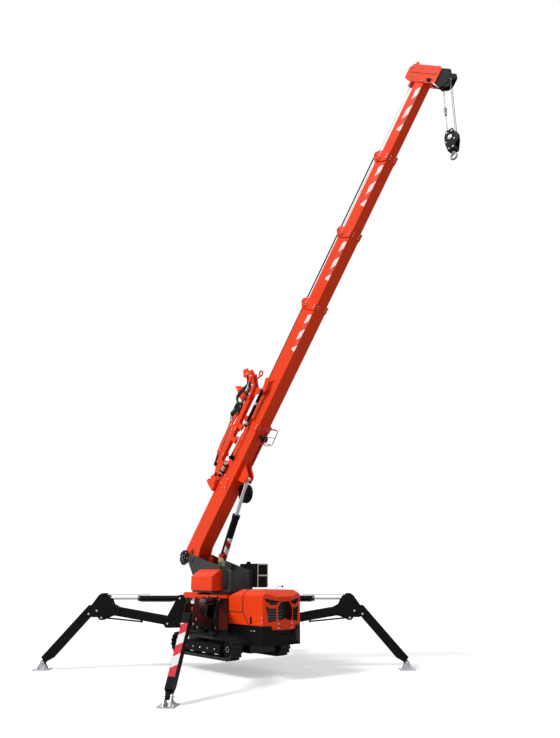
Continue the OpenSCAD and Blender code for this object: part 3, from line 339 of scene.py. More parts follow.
def ring_faces(copies, rings, sides):
    """Quads of stacked rings, with a flat cap on the first and last ring, for several copies."""
    ring, side = np.meshgrid(np.arange(rings - 1), np.arange(sides), indexing="ij")
    following = (side + 1) % sides
    quads = np.stack([ring * sides + side, ring * sides + following,
                      (ring + 1) * sides + following, (ring + 1) * sides + side], axis=-1).reshape(-1, 4)
    caps = np.stack([np.arange(sides)[::-1], (rings - 1) * sides + np.arange(sides)])
    shift = np.arange(copies)[:, None, None] * rings * sides
    return (quads + shift).reshape(-1, 4).tolist() + (caps + shift).reshape(-1, sides).tolist()


def unit(vectors):
    """Vectors divided by their own lengths."""
    return vectors / np.linalg.norm(vectors, axis=-1, keepdims=True)


def square_axes(along):
    """Two unit vectors square to each direction, which make a right-handed set with it."""
    along = np.asarray(along, float)
    lean = np.where(np.abs(along[..., 2:3]) < 0.9, UP, AHEAD)
    first = unit(np.cross(lean, along))
    return first, np.cross(along, first)


def tube(name, path, radius, body, finish, sides=12, slot=None):
    """A circle carried along a path: centre + r (cos t first + sin t second)."""
    path = np.asarray(path, float)
    first, second = square_axes(unit(np.gradient(path, axis=0)))
    turn = np.linspace(0, 2 * np.pi, sides, endpoint=False)[None, :, None]
    size = np.broadcast_to(radius, len(path))[:, None, None]
    grid = path[:, None] + size * (np.cos(turn) * first[:, None] + np.sin(turn) * second[:, None])
    return piece(name, grid, ring_faces(1, len(path), sides), body, finish, True, slot)


def bend(*points, steps=10):
    """A smooth curve through points: cubic pieces whose slope is half the step past each side."""
    knots = np.asarray(points, float)
    slope = np.gradient(knots, axis=0)
    at = np.linspace(0, len(knots) - 1, (len(knots) - 1) * steps + 1)
    low = np.minimum(at.astype(int), len(knots) - 2)
    t = (at - low)[:, None]
    return ((2 * t**3 - 3 * t**2 + 1) * knots[low] + (t**3 - 2 * t**2 + t) * slope[low]
            + (3 * t**2 - 2 * t**3) * knots[low + 1] + (t**3 - t**2) * slope[low + 1])


def turned(name, centres, axes, profile, body, finish, sides=20, smooth=False, slot=None):
    """A profile of radius and height turned about an axis at each centre."""
    centres = np.atleast_2d(np.asarray(centres, float))
    axes = unit(np.broadcast_to(np.asarray(axes, float), centres.shape))
    first, second = square_axes(axes)
    radius, height = np.asarray(profile, float).T
    turn = np.linspace(0, 2 * np.pi, sides, endpoint=False)
    rim = np.cos(turn)[None, :, None] * first[:, None] + np.sin(turn)[None, :, None] * second[:, None]
    grid = (centres[:, None, None] + height[None, :, None, None] * axes[:, None, None]
            + radius[None, :, None, None] * rim[:, None])
    faces = ring_faces(len(centres), len(profile), sides)
    return piece(name, grid, faces, body, finish, smooth, slot)


def bolts(name, centres, axes, size, body, finish):
    """Twelve-sided heads on washers: a stepped profile of radius and height turned about each axis."""
    profile = np.array([[0.9, -0.02], [0.9, 0.12], [0.58, 0.12], [0.58, 0.5], [0.5, 0.56]]) * size
    return turned(name, centres, axes, profile, body, finish, sides=12)


def slab(name, outline, corner, across, up, thick, body, finish):
    """A flat outline in two directions, given thickness along their cross product or against it."""
    across, up = np.asarray(across, float), np.asarray(up, float)
    outline = np.asarray(outline, float)[::int(np.sign(thick))]
    flat = np.asarray(corner, float) + outline[:, :1] * across + outline[:, 1:] * up
    grid = np.stack([flat, flat + thick * np.cross(across, up)])
    return piece(name, grid, ring_faces(1, 2, len(outline)), body, finish)


def tape(name, front, outward, flat_map, body, finish):
    """A thin closed sheet: the front grid and the same grid set back, walked round as rings, row by row."""
    back = front - SHEET * outward
    rings = np.concatenate([front, back[:, ::-1]], axis=1)
    flat = np.concatenate([flat_map, flat_map[:, ::-1]], axis=1)
    return piece(name, rings, ring_faces(1, *rings.shape[:2]), body, finish, flat_map=flat)


def oblong(x0, y0, x1, y1):
    """Corners of a rectangle between two opposite corners."""
    return [[x0, y0], [x1, y0], [x1, y1], [x0, y1]]


def boom_curve(rows):
    """A smooth curve through rows of u, w and y."""
    return bend(*boom(*np.array(rows, float).T))


def machine_curve(rows):
    """A smooth curve through rows of x, y and z, measured from the slew axis."""
    return bend(*machine(*np.array(rows, float).T))


def leg_curve(name, rows):
    """A smooth curve through rows of r, z and y in an outrigger's plane."""
    return bend(*leg(name, *np.array(rows, float).T))


def ridged(core, height, pitch, half, steps):
    """Profile of wound rope or cable: radius = core + height |sin(pi y / pitch)| across the width."""
    across = np.linspace(-half, half, steps)
    return np.stack([core + height * np.abs(np.sin(across * np.pi / pitch)), across], axis=-1)


def around(count, radius, start=0.0):
    """Places spread evenly on a circle: radius times cosine and radius times sine of each turn."""
    turn = start + np.arange(count) * 2 * np.pi / count
    return radius * np.cos(turn), radius * np.sin(turn)


# Boom

# Where each section ends along the boom, the height of their middle line, and their half depths and widths
MOUTHS = np.array([2.895, 5.265, 6.600, 7.930, 9.080])
MIDDLE = 0.22
HALF_DEEP = 0.175 - 0.019 * np.arange(5)
HALF_WIDE = 0.1425 - 0.015 * np.arange(5)
SECTIONS = ("boom_one", "boom_two", "boom_three", "boom_four", "boom_five")
BASE, LAST = SECTIONS[0], SECTIONS[-1]
# Places along and above the pivot line
ROPE_HIGH = 0.482
HOSE_HIGH, HOSE_LANE = 0.486, -0.04
DRUM = (-0.205, 0.33)
REEL = (1.61, -0.14)
LAMP = (2.70, -0.085)
BOOM_TAPE_LONG, BOOM_TAPE_WIDE = 0.70, 0.090
# Head sheave's axle to block sheave's axle
FALLS = 1.054


def boom_tapes():
    """Flat striped sheets on both sides of each sliding section, behind its collar."""
    along, rise = np.array([-BOOM_TAPE_LONG, 0.0]), np.array([0.0, BOOM_TAPE_WIDE])
    for k in range(1, 5):
        start = MOUTHS[k] - (0.21 if k < 4 else 0.08)
        low = MIDDLE - HALF_DEEP[k] + 0.010
        for name, side in SIDES:
            u, w = np.meshgrid(along, rise[::side], indexing="ij")
            grid = boom(start + u, low + w, side * (HALF_WIDE[k] + 0.0003))
            flat_map = np.stack([u, w - BOOM_TAPE_WIDE / 2], axis=-1)
            tape("tape_%s_%s" % (SECTIONS[k], name), grid, side * ACROSS, flat_map, SECTIONS[k], boom_stripes)


def hoist_rope():
    """Rope and hose runs that slide inside one another, one for each section, and the rope's guide."""
    guide = 0.36
    rise = boom(np.array([-0.20, guide - 0.02]), np.array([0.4165, ROPE_HIGH]), 0.0)
    run = boom(np.array([guide, MOUTHS[0]]), ROPE_HIGH, 0.0)
    tube("rope_boom_one", np.concatenate([rise, run]), 0.0052, BASE, zinc, 8)
    tails = (MOUTHS[0], MOUTHS[2] - 2.335, MOUTHS[3] - 2.33, 6.82)
    tips = (MOUTHS[1], MOUTHS[2], MOUTHS[3], MOUTHS[4] - 0.055)
    for k, body in enumerate(SECTIONS[1:]):
        run = boom(np.linspace(tails[k], tips[k], 9), ROPE_HIGH, 0.0)
        tube("rope_" + body, run, 0.0050 - 0.0002 * k, body, zinc, 8)
        if k < 3:
            run = boom(np.linspace(tails[k], tips[k] - 0.07, 9), HOSE_HIGH, HOSE_LANE)
            tube("hose_" + body, run, 0.0125 - 0.0006 * k, body, hose_skin, 10)
    dip = boom_curve([[0.43, 0.399, HOSE_LANE], [0.47, 0.45, HOSE_LANE], [0.57, HOSE_HIGH, HOSE_LANE],
                      [0.70, HOSE_HIGH, HOSE_LANE]])
    run = boom(np.linspace(0.8, MOUTHS[0] - 0.05, 9), HOSE_HIGH, HOSE_LANE)
    tube("hose_boom_one", np.concatenate([dip, run]), 0.0132, BASE, hose_skin, 10)
    turned("rope_guide", boom(guide, 0.455, -0.03), ACROSS,
           [[0.024, 0], [0.024, 0.01], [0.020, 0.02], [0.020, 0.04], [0.024, 0.05], [0.024, 0.06]],
           BASE, steel)
    cheek = [[-0.03, 0], [0.03, 0], [0.012, 0.075], [-0.012, 0.075]]
    for name, y in (("foot", -0.034), ("plate", 0.04)):
        slab("rope_guide_" + name, cheek, boom(guide, 0.394, y), ALONG, RISE, 0.006, BASE, black)


def collar_fittings():
    """Roller pin heads, grip bars and screws at the four collars."""
    for k, body in enumerate(SECTIONS[:4]):
        mouth, deep, wide = MOUTHS[k], HALF_DEEP[k], HALF_WIDE[k] + 0.016
        for name, side in SIDES:
            bolts("ear_pin_%s_%s" % (body, name), boom(mouth - 0.082, MIDDLE + deep + 0.059, side * wide),
                  side * ACROSS, 0.022, body, steel)
            bolts("collar_screws_%s_%s" % (body, name),
                  boom(mouth - np.array([0.03, 0.075, 0.03, 0.075]), MIDDLE + CORNER_UP * (deep - 0.035),
                       side * wide),
                  side * ACROSS, SMALL_SCREW, body, zinc)
        bolts("pad_screws_" + body,
              boom(mouth - np.array([0.03, 0.08, 0.03, 0.08]), MIDDLE - deep - 0.008,
                   CORNER_UP * (wide - 0.06)),
              -RISE, SMALL_SCREW, body, zinc)
        top = MIDDLE + deep
        tube("grip_bar_" + body,
             boom_curve([[mouth - 0.15, top - 0.02, -wide], [mouth - 0.16, top - 0.03, -wide - 0.022],
                         [mouth - 0.12, top - 0.09, -wide - 0.022], [mouth - 0.11, top - 0.10, -wide]]),
             0.006, body, steel, 8)


def winch_fittings():
    """Rope layers on the drum, screws on its ends and its two feed hoses."""
    u, w = DRUM
    turned("rope_layers", boom(u, w, 0.0), ACROSS, ridged(0.0868, 0.0045, 0.0104, 0.146, 145),
           BASE, wire, 36, smooth=True, slot="galvanised")
    for name, side in SIDES:
        for stem, ring, face, size in (("motor", 0.05, 0.18, 0.011), ("flange", 0.115, 0.168, SMALL_SCREW)):
            across, up = around(6, ring)
            bolts("%s_screws_%s" % (stem, name), boom(u + across, w + up, side * face), side * ACROSS,
                  size, BASE, zinc)
    for k, low in enumerate((0.0, -0.05)):
        tube("winch_hose_%d" % k,
             boom_curve([[u, 0.34 + low, -0.178], [-0.24, 0.26 + low, -0.197], [-0.15, 0.18 + low, -0.195],
                         [0.00, 0.20 + low, -0.172], [0.09, 0.22 + low, -0.140]]),
             HOSE, BASE, hose_skin)


def lamp_and_reel():
    """Lens and bent frame of the work lamp, and the cable on the reel."""
    tilt = np.radians(60)
    facing = unit(np.sin(tilt) * ALONG + np.cos(tilt) * RISE)
    turned("lamp_lens", boom(*LAMP, 0.0) + 0.0305 * facing, facing,
           [[0.052, 0], [0.050, 0.006], [0.036, 0.011], [0.018, 0.014], [0.004, 0.015]],
           BASE, lens_glass, 28, smooth=True)
    frame_u = np.array([2.865, 2.90, 2.93, 2.945, 2.93, 2.81, 2.69, 2.665, 2.62, 2.57, 2.56])
    frame_w = np.array([0.040, -0.02, -0.085, -0.16, -0.182, -0.187, -0.192, -0.172, -0.12, -0.055, 0.048])
    frame_y = np.array([-0.072, 0.125])
    for (name, _), y in zip(SIDES, frame_y):
        bow = bend(*boom(frame_u, frame_w, y), steps=4)
        tube("lamp_frame_" + name, bow, 0.007, BASE, guard_red, 10)
    for k, at in enumerate((3, 5, 7)):
        tube("lamp_bar_%d" % k, boom(frame_u[at], frame_w[at], np.linspace(*frame_y, 3)), 0.0055,
             BASE, guard_red, 10)
    u, w = REEL
    reel_y = 0.119
    turned("reel_cable", boom(u, w, reel_y), ACROSS, ridged(0.1415, 0.013, 0.0147, 0.022, 45),
           BASE, hose_skin, 36, smooth=True)
    across, up = around(5, 0.06)
    bolts("reel_screws", boom(u + across, w + up, 0.150), ACROSS, SMALL_SCREW, BASE, zinc)
    tube("reel_lead",
         boom_curve([[1.765, w, reel_y], [1.80, -0.05, reel_y], [1.95, 0.03, 0.110], [2.35, 0.035, 0.09],
                     [2.80, 0.028, 0.09]]),
         0.007, BASE, hose_skin)


def head_fittings():
    """Screws, lifting ears of the boom head, black strips of painted shade in its recessed slots, and its
    limit cord, lever and switch.
    """
    screw_u = np.array([9.293, 9.25, 9.15, 9.11, 9.15, 9.29])
    screw_w = np.array([0.318, -0.035, 0.427, 0.128, -0.02, 0.50])
    ear = [[0.0, 0.0], [0.10, 0.0], [0.075, 0.05], [0.03, 0.05]]
    for name, side in SIDES:
        bolts("head_screws_" + name, boom(screw_u, screw_w, side * 0.095), side * ACROSS, 0.018, LAST, steel)
        # Thin black strips on the head's sides are painted shade for the inside of its recessed slots
        slab("head_slot_" + name, oblong(-0.09, 0.0, 0.53, 0.007), boom(9.215, 0.0, side * 0.0948),
             RISE, ALONG, side * 0.0012, LAST, black)
        slab("head_ear_" + name, ear, boom(9.345, 0.42, side * 0.06 - 0.006),
             RISE, ALONG, -0.012, LAST, orange)
    tube("limit_cord", boom_curve([[9.10, -0.15, 0.05], [9.06, -0.22, 0.052], [8.98, -0.30, 0.045]]),
         0.004, LAST, steel, 8)
    tube("limit_lever", boom(np.array([9.13, 9.08, 9.03]), np.array([0.02, -0.115, -0.25]), -0.088),
         0.008, LAST, zinc, 10)
    slab("limit_switch", oblong(-0.03, -0.02, 0.03, 0.02), boom(9.125, 0.02, -0.094), RISE, ALONG, -0.03,
         LAST, black)


# Stowed jib

def boom_block(name, low, high, body, finish):
    """A box between two corners given as u, w and y."""
    (u0, w0, y0), (u1, w1, y1) = low, high
    return slab(name, oblong(u0, w0, u1, w1), PIVOT + y1 * ACROSS, ALONG, RISE, y1 - y0, body, finish)


def jib_rails():
    """Second rail and its pipe, the two small cylinders at the jib's tail and their clamps."""
    boom_block("jib_rail", (1.90, 0.668, -0.205), (2.74, 0.752, -0.135), BASE, orange)
    tube("jib_rail_pipe", boom(np.linspace(1.86, 2.72, 3), 0.654, -0.188), 0.009, BASE, zinc, 10)
    tube("jib_tail_cylinder", boom(np.array([1.66, 1.80, 1.92]), np.array([0.668, 0.694, 0.714]), -0.165),
         0.032, BASE, black, 20)
    turned("jib_side_cylinder", boom(1.66, 0.372, -0.185), ALONG,
           [[0.026, 0.0], [0.032, 0.006], [0.032, 0.20], [0.036, 0.205], [0.036, 0.24], [0.020, 0.245]],
           BASE, zinc, 24)
    for k, u in enumerate((1.70, 1.84)):
        boom_block("jib_side_clamp_%d" % k, (u, 0.335, -0.222), (u + 0.03, 0.412, -0.142), BASE, black)


def jib_plates():
    """Hook plates with rollers, foot plates, the cheek on the boom's side and the eye, an open circle."""
    arm = [[3.02, 0.635], [3.17, 0.635], [3.17, 0.77], [3.225, 0.93], [3.14, 1.07],
           [3.11, 0.95], [3.05, 0.85]]
    crown = [[3.40, 0.70], [3.50, 0.72], [3.545, 0.78], [3.585, 0.95], [3.50, 1.05],
             [3.40, 0.94], [3.43, 0.84]]
    claw = [[3.42, 0.27], [3.50, 0.225], [3.60, 0.25], [3.69, 0.275], [3.755, 0.25], [3.67, 0.38],
            [3.56, 0.345], [3.42, 0.34]]
    foot = [[1.40, 0.414], [1.76, 0.414], [1.80, 0.44], [1.80, 0.55], [1.68, 0.585],
            [1.57, 0.53], [1.44, 0.60]]
    cheek = [[1.50, 0.10], [1.68, 0.15], [1.73, 0.22], [1.71, 0.33], [1.52, 0.33], [1.46, 0.22]]
    plate = 0.012
    for name, outline, y in (("arm_near", arm, -0.212), ("arm_far", arm, -0.122),
                             ("crown_near", crown, -0.218), ("crown_far", crown, -0.104),
                             ("claw", claw, -0.190), ("foot_near", foot, -0.196),
                             ("foot_far", foot, -0.078), ("cheek", cheek, -0.141)):
        slab("jib_" + name, outline, PIVOT + y * ACROSS, ALONG, RISE, plate, BASE, orange)
    bolts("jib_cheek_screws",
          boom(np.array([1.515, 1.52, 1.685, 1.69]), np.array([0.14, 0.30, 0.18, 0.30]), -0.153),
          -ACROSS, SCREW, BASE, zinc)
    for name, u, w, radius in (("foot", 1.58, 0.475, 0.034), ("arm", 3.12, 0.80, 0.030),
                               ("crown", 3.49, 0.90, 0.048), ("tip", 3.135, 0.97, 0.018)):
        turned("jib_roller_" + name, boom(u, w, -0.165), ACROSS,
               [[radius, -0.052], [radius, -0.035], [radius * 0.8, -0.02], [radius * 0.8, 0.02],
                [radius, 0.035], [radius, 0.052]], BASE, black, 24)
    turn = np.linspace(0.35, 2 * np.pi - 0.35, 22)
    loop = boom(3.66 - 0.046 * np.cos(turn), 0.605 - 0.046 * np.sin(turn), -0.16)
    tube("jib_eye", np.concatenate([boom(3.50, 0.66, -0.16)[None], loop]), 0.016, BASE, orange, 12)


def jib_rods():
    """Polished rod and bands of the strut, and the screws and pins of the jib."""
    strut_w, strut_y = 0.305, -0.205
    tube("jib_rod_sleeve", boom(np.linspace(2.10, 2.71, 3), strut_w, strut_y), 0.0146, BASE, chrome, 20)
    turned("jib_strut_bands", boom(np.array([2.76, 3.16]), strut_w, strut_y), ALONG,
           [[0.0285, 0.0], [0.031, 0.004], [0.031, 0.05], [0.0285, 0.054]], BASE, zinc, 24)
    for k, u in enumerate((1.99, 2.53)):
        bolts("jib_clamp_screws_%d" % k,
              boom(u + 0.018 * CORNER_ACROSS, 0.61 + 0.08 * CORNER_UP, -0.214),
              -ACROSS, SMALL_SCREW, BASE, zinc)
    bolts("jib_pins", boom(np.array([3.515, 3.40, 3.24, 3.12, 3.49, 3.135]),
                           np.array([0.77, 0.62, 0.58, 0.80, 0.90, 0.97]), -0.216),
          -ACROSS, 0.026, BASE, zinc)


def jib_hoses():
    """Hoses from the drive box to both ends of the jib, and the motor on the box."""
    for k in range(3):
        low = 0.03 * k
        tube("jib_hose_%d" % k,
             boom_curve([[2.80, 0.80 - low, -0.205], [2.70, 0.85 - low, -0.215], [2.62, 0.81, -0.20 + low],
                         [2.45, 0.775, -0.185 + low], [2.05, 0.768, -0.185 + low], [1.84, 0.74, -0.17 + low],
                         [1.70, 0.70, -0.165 + low], [1.62, 0.60, -0.16 + low]]),
             HOSE, BASE, hose_skin)
        tube("jib_loop_%d" % k,
             boom_curve([[2.93, 0.80 - low, -0.20], [3.00, 0.88 - low, -0.225], [3.12, 0.86 - low, -0.232],
                         [3.26, 0.80 - low, -0.228], [3.36, 0.76, -0.224], [3.46, 0.80 + low, -0.226],
                         [3.50, 0.86 + low, -0.214]]),
             0.010, BASE, hose_skin)
        tube("jib_feed_%d" % k,
             boom_curve([[2.95, 0.72 - low, -0.19], [3.06, 0.70 - low, -0.222], [3.20, 0.68 - low, -0.222],
                         [3.33, 0.70 - low, -0.225], [3.42, 0.75 - low, -0.222]]),
             0.008, BASE, hose_skin)
    box_u, box_w = 2.86, 0.735
    turned("jib_motor_cap", boom(box_u, box_w, -0.12), ACROSS,
           [[0.062, -0.01], [0.062, 0.035], [0.05, 0.045], [0.03, 0.05]], BASE, black, 24)
    turned("jib_motor", boom(2.665, 0.79, -0.175), ALONG,
           [[0.030, 0.0], [0.046, 0.008], [0.046, 0.07], [0.052, 0.074], [0.052, 0.11]], BASE, black, 24)
    bolts("jib_motor_screws",
          boom(box_u + 0.07 * CORNER_ACROSS, box_w + 0.07 * CORNER_UP, -0.22),
          -ACROSS, SCREW, BASE, zinc)


# Hook

def hook_fittings():
    """Screws and axle caps on the block, rope in half circles round both sheaves, swivel nut and latch."""
    axle = np.array(joints["hook_swing"]["pos_m"])
    hang = "hook_hang"
    screws = np.array([[-0.04, 0, -0.965], [0.04, 0, -0.965], [-0.068, 0, -1.115], [0.068, 0, -1.115],
                       [-0.035, 0, -1.235], [0.035, 0, -1.235]])
    for name, side in SIDES:
        face = axle + side * 0.060 * ACROSS
        bolts("block_screws_" + name, face + screws, side * ACROSS, 0.013, hang, zinc)
        turned("block_axle_" + name, face - FALLS * UP, side * ACROSS,
               [[0.034, -0.001], [0.034, 0.006], [0.020, 0.008], [0.020, 0.016], [0.014, 0.019]],
               hang, zinc, 24)
    turn = np.linspace(0, np.pi, 25)[:, None]
    for name, side in SIDES:
        for end, low, sense in (("over", 0.0, 1), ("under", -FALLS, -1)):
            path = axle + (0, side * 0.02, low) + 0.075 * (np.cos(turn) * AHEAD + sense * np.sin(turn) * UP)
            tube("rope_wrap_%s_%s" % (end, name), path, 0.0049, hang, wire, 10)
    turned("swivel_nut", axle - 1.305 * UP, UP,
           [[0.022, 0.0], [0.028, 0.005], [0.028, 0.024], [0.024, 0.031]], hang, zinc, 6)
    hook = axle - 1.362 * UP
    tube("hook_latch", bend(hook + (0.004, 0, 0.052), hook + (0.026, 0, 0.040), hook + (0.050, 0, 0.012)),
         0.005, hang, zinc, 8)


# Turret, hood and chassis

# Outer faces of the hood's sides, the tank's side, the rear box and the service panel
HOOD_HALF = 0.39
TANK_SIDE = 0.472
REAR_FACE = -0.93
PANEL_FACE = 0.352


def lift_tape():
    """Striped sheet round the lift tube, foot + s axis + r (cos t front + sin t across), and its pipe."""
    tilt = np.radians(62.87)
    axis = np.array([np.cos(tilt), 0.0, np.sin(tilt)])
    front = np.array([np.sin(tilt), 0.0, -np.cos(tilt)])
    foot = machine(-0.35, 0.0, 1.40)
    radius = 0.065
    along, turn = np.meshgrid(np.array([0.16, 0.86]), np.radians(np.linspace(75, -62, 28)), indexing="ij")
    rim = np.cos(turn)[..., None] * front + np.sin(turn)[..., None] * ACROSS
    grid = foot + along[..., None] * axis + (radius + SHEET) * rim
    tape("tape_lift", grid, rim, np.stack([along, radius * turn], axis=-1), "lift_tube", lift_stripes)
    side = -0.0745 * ACROSS
    stops = ((0.10, 0.8), (0.18, 1.0), (0.70, 1.0), (1.16, 1.0), (1.20, 0.8))
    path = bend(*(foot + at * axis + share * side for at, share in stops))
    tube("lift_pipe", path, 0.008, "lift_tube", steel)


def turret_fittings():
    """White edging of the oil cooler, pivot screws, hoses and cover screws of the turret."""
    cooler = machine(0.5602, 0.237, 1.318)
    for name, *corners in (("edge", 0.0, 0.0, 0.018, 0.394), ("top", 0.018, 0.376, 0.217, 0.394),
                           ("far", 0.217, 0.0, 0.235, 0.394), ("band", 0.018, 0.186, 0.217, 0.208)):
        slab("cooler_" + name, oblong(*corners), cooler, ACROSS, UP, 0.002, "turret", white)
    across, up = around(4, 0.075, np.pi / 4)
    for name, side in SIDES:
        bolts("pivot_screws_" + name, machine(-0.8 + across, side * 0.237, 1.78 + up), side * ACROSS, 0.015,
              "turret", steel)
    for k, x in enumerate((0.245, 0.275, 0.305, 0.335)):
        tube("turret_hose_%d" % k,
             machine_curve([[x, -0.24, 1.30], [x, -0.275, 1.36], [x + 0.01, -0.268, 1.46],
                            [x - 0.02, -0.255, 1.58], [x - 0.05, -0.22, 1.66]]),
             HOSE, "turret", hose_skin)
    bolts("cover_screws",
          machine(np.array([-0.39, 0.18, -0.39, 0.18]), -0.472, np.array([1.30, 1.30, 1.47, 1.47])),
          -ACROSS, 0.010, "turret", steel)


def rear_fittings():
    """Louvres, lamps, grips and screws of the rear box, and the tow eye under it, half an ellipse."""
    for k, z in enumerate(np.linspace(0.85, 1.03, 7)):
        slab("rear_louvre_%d" % k, oblong(-0.17, -0.008, 0.17, 0.008), machine(REAR_FACE + 0.001, 0.0, z),
             ACROSS, (0.45, 0, 0.9), -0.006, "chassis", black)
    for name, side in SIDES:
        y = side * 0.27
        turned("rear_lamp_" + name, machine(REAR_FACE, y, 0.80), -AHEAD,
               [[0.038, -0.002], [0.038, 0.012], [0.032, 0.016], [0.028, 0.024], [0.012, 0.028]],
               "chassis", lamp_red, 24)
        tube("rear_grip_" + name,
             machine_curve([[REAR_FACE + 0.004, y, 0.92], [REAR_FACE - 0.035, y, 0.925],
                            [REAR_FACE - 0.035, y, 1.055], [REAR_FACE + 0.004, y, 1.06]]),
             0.009, "chassis", black)
        bolts("rear_screws_" + name, machine(REAR_FACE, side * 0.325, np.array([0.76, 0.94, 1.10])), -AHEAD,
              SMALL_SCREW, "chassis", zinc)
        bolts("box_screws_" + name, machine(np.array([-0.85, -0.62, -0.42]), side * 0.35, 0.68),
              side * ACROSS, SMALL_SCREW, "chassis", zinc)
    tow = 0.47
    slab("tow_plate", oblong(-0.09, -0.07, 0.09, 0.07), machine(-0.759, 0.0, tow), ACROSS, UP, -0.016,
         "chassis", black)
    turn = np.linspace(-0.5, 0.5, 15) * np.pi
    tube("tow_eye", machine(-0.772 - 0.055 * np.cos(turn), 0.0, tow + 0.045 * np.sin(turn)), 0.012,
         "chassis", steel)
    bolts("tow_screws", machine(-0.775, 0.07 * CORNER_ACROSS, tow + 0.05 * CORNER_UP), -AHEAD, SCREW,
          "chassis", zinc)


def left_fittings():
    """Service panel, pipes and tank fittings on the machine's left."""
    slab("service_panel", oblong(-0.17, 0.69, 0.17, 1.03), machine(0.0, 0.339, 0.0), AHEAD, UP, -0.013,
         "chassis", black)
    bolts("panel_screws", machine(0.15 * np.array([-1, 0, 1, -1, 0, 1]), PANEL_FACE,
                                  np.array([0.71, 0.71, 0.71, 1.01, 1.01, 1.01])),
          ACROSS, SMALL_SCREW, "chassis", zinc)
    dial_z = 0.92
    turned("panel_dials", machine(np.array([-0.08, 0.02]), PANEL_FACE, dial_z), ACROSS,
           [[0.034, -0.001], [0.034, 0.010], [0.029, 0.012], [0.029, 0.008]], "chassis", zinc, 24)
    turned("panel_knob", machine(0.10, PANEL_FACE, dial_z), ACROSS,
           [[0.018, -0.001], [0.018, 0.016], [0.012, 0.020]], "chassis", lamp_red, 20)
    for k in range(4):
        z = 1.05 + 0.024 * k
        tube("left_pipe_%d" % k,
             machine_curve([[-0.19, 0.345, z], [-0.12, 0.356, z], [0.12, 0.356, z], [0.19, 0.345, z]]),
             0.008, "chassis", zinc if k % 2 else hose_skin, 8, "galvanised")
    turned("tank_cap", machine(0.15, 0.36, 1.712), UP,
           [[0.045, -0.001], [0.045, 0.012], [0.036, 0.014], [0.036, 0.034], [0.030, 0.040]],
           "turret", black, 24)
    bolts("tank_screws", machine(0.31 + 0.225 * CORNER_ACROSS, TANK_SIDE, 1.515 + 0.17 * CORNER_UP),
          ACROSS, SMALL_SCREW, "turret", zinc)
    for k, x in enumerate(np.linspace(0.30, 0.50, 6)):
        slab("tank_rib_%d" % k, oblong(-0.007, 1.38, 0.007, 1.65), machine(x, TANK_SIDE - 0.0005, 0.0),
             AHEAD, UP, -0.010, "turret", black)
    tube("level_glass", machine(0.16, 0.480, np.linspace(1.40, 1.62, 3)), 0.009, "turret", lens_glass, 12)


def hood_seal():
    """Rubber band between the hood's panels: its two edges carried from side to side over the top."""
    y = np.array([*[HOOD_HALF] * 3, 0.29, -0.29, *[-HOOD_HALF] * 3])
    z = np.array([0.783, 0.965, 1.22, 1.30, 1.30, 1.22, 0.965, 0.783])
    rear = machine(np.array([1.118, *[0.962] * 6, 1.118]), y, z)
    front = machine(np.array([1.141, *[0.983] * 6, 1.141]), y, z)
    lean = np.array([[1.0, 0.0], [1.0, 0.0], [0.90, 0.43], [0.33, 0.94]])
    lean = np.concatenate([lean, lean[::-1] * (-1, 1)])
    outward = np.stack([0 * y, lean[:, 0], lean[:, 1]], axis=-1)
    sunk, proud = -0.003 * outward, 0.0025 * outward
    rings = np.stack([rear + sunk, front + sunk, front + proud, rear + proud], axis=1)
    piece("hood_seal", rings, ring_faces(1, len(y), 4), "chassis", hose_skin)


def hood_fittings():
    """Screws, latches, hinge sleeve and cover of the hood, rubber in its side grooves and its prop rod."""
    bolts("nose_screws", machine(1.55, 0.135 * CORNER_UP, 0.7775 + 0.0325 * CORNER_ACROSS),
          AHEAD, 0.015, "hood", zinc)
    for name, side in SIDES:
        bolts("side_screws_" + name, machine(1.445, side * HOOD_HALF, np.array([0.83, 0.90])), side * ACROSS,
              SMALL_SCREW, "hood", zinc)
        bolts("bumper_screws_" + name, machine(np.array([1.20, 1.27]), side * HOOD_HALF, 0.70), side * ACROSS,
              SCREW, "chassis", zinc)
        slab("hood_latch_" + name, oblong(-0.016, -0.05, 0.016, 0.05),
             machine(1.19, side * (HOOD_HALF - 0.0002), 0.85), AHEAD, UP, -side * 0.014, "hood", black)
    turned("hinge_sleeve", machine(1.5475, -0.129, 0.672), ACROSS, [[0.0128, 0.0], [0.0128, 0.258]],
           "hood", black, 24)
    slab("hinge_cover", oblong(-0.131, 0.684, 0.131, 0.7195), machine(1.5503, 0.0, 0.0), ACROSS, UP, 0.002,
         "hood", black)
    for name, side in SIDES:
        slab("hood_groove_" + name, oblong(0.602, 0.9515, 0.968, 0.9645),
             machine(0.0, side * (HOOD_HALF - 0.0028), 0.0), AHEAD, UP, -side * 0.0016, "chassis", hose_skin)
    rod_x, rod_z = 1.06, 1.342
    tube("hood_rod", machine_curve([[rod_x, 0.24, 1.297], [rod_x, 0.243, 1.335], [rod_x, 0.30, rod_z],
                                    [rod_x, 0.36, rod_z]]), 0.006, "hood", zinc, 10)
    turned("hood_knob", machine(rod_x, 0.372, rod_z), ACROSS, BALL * 0.018, "hood", black, 16, smooth=True)


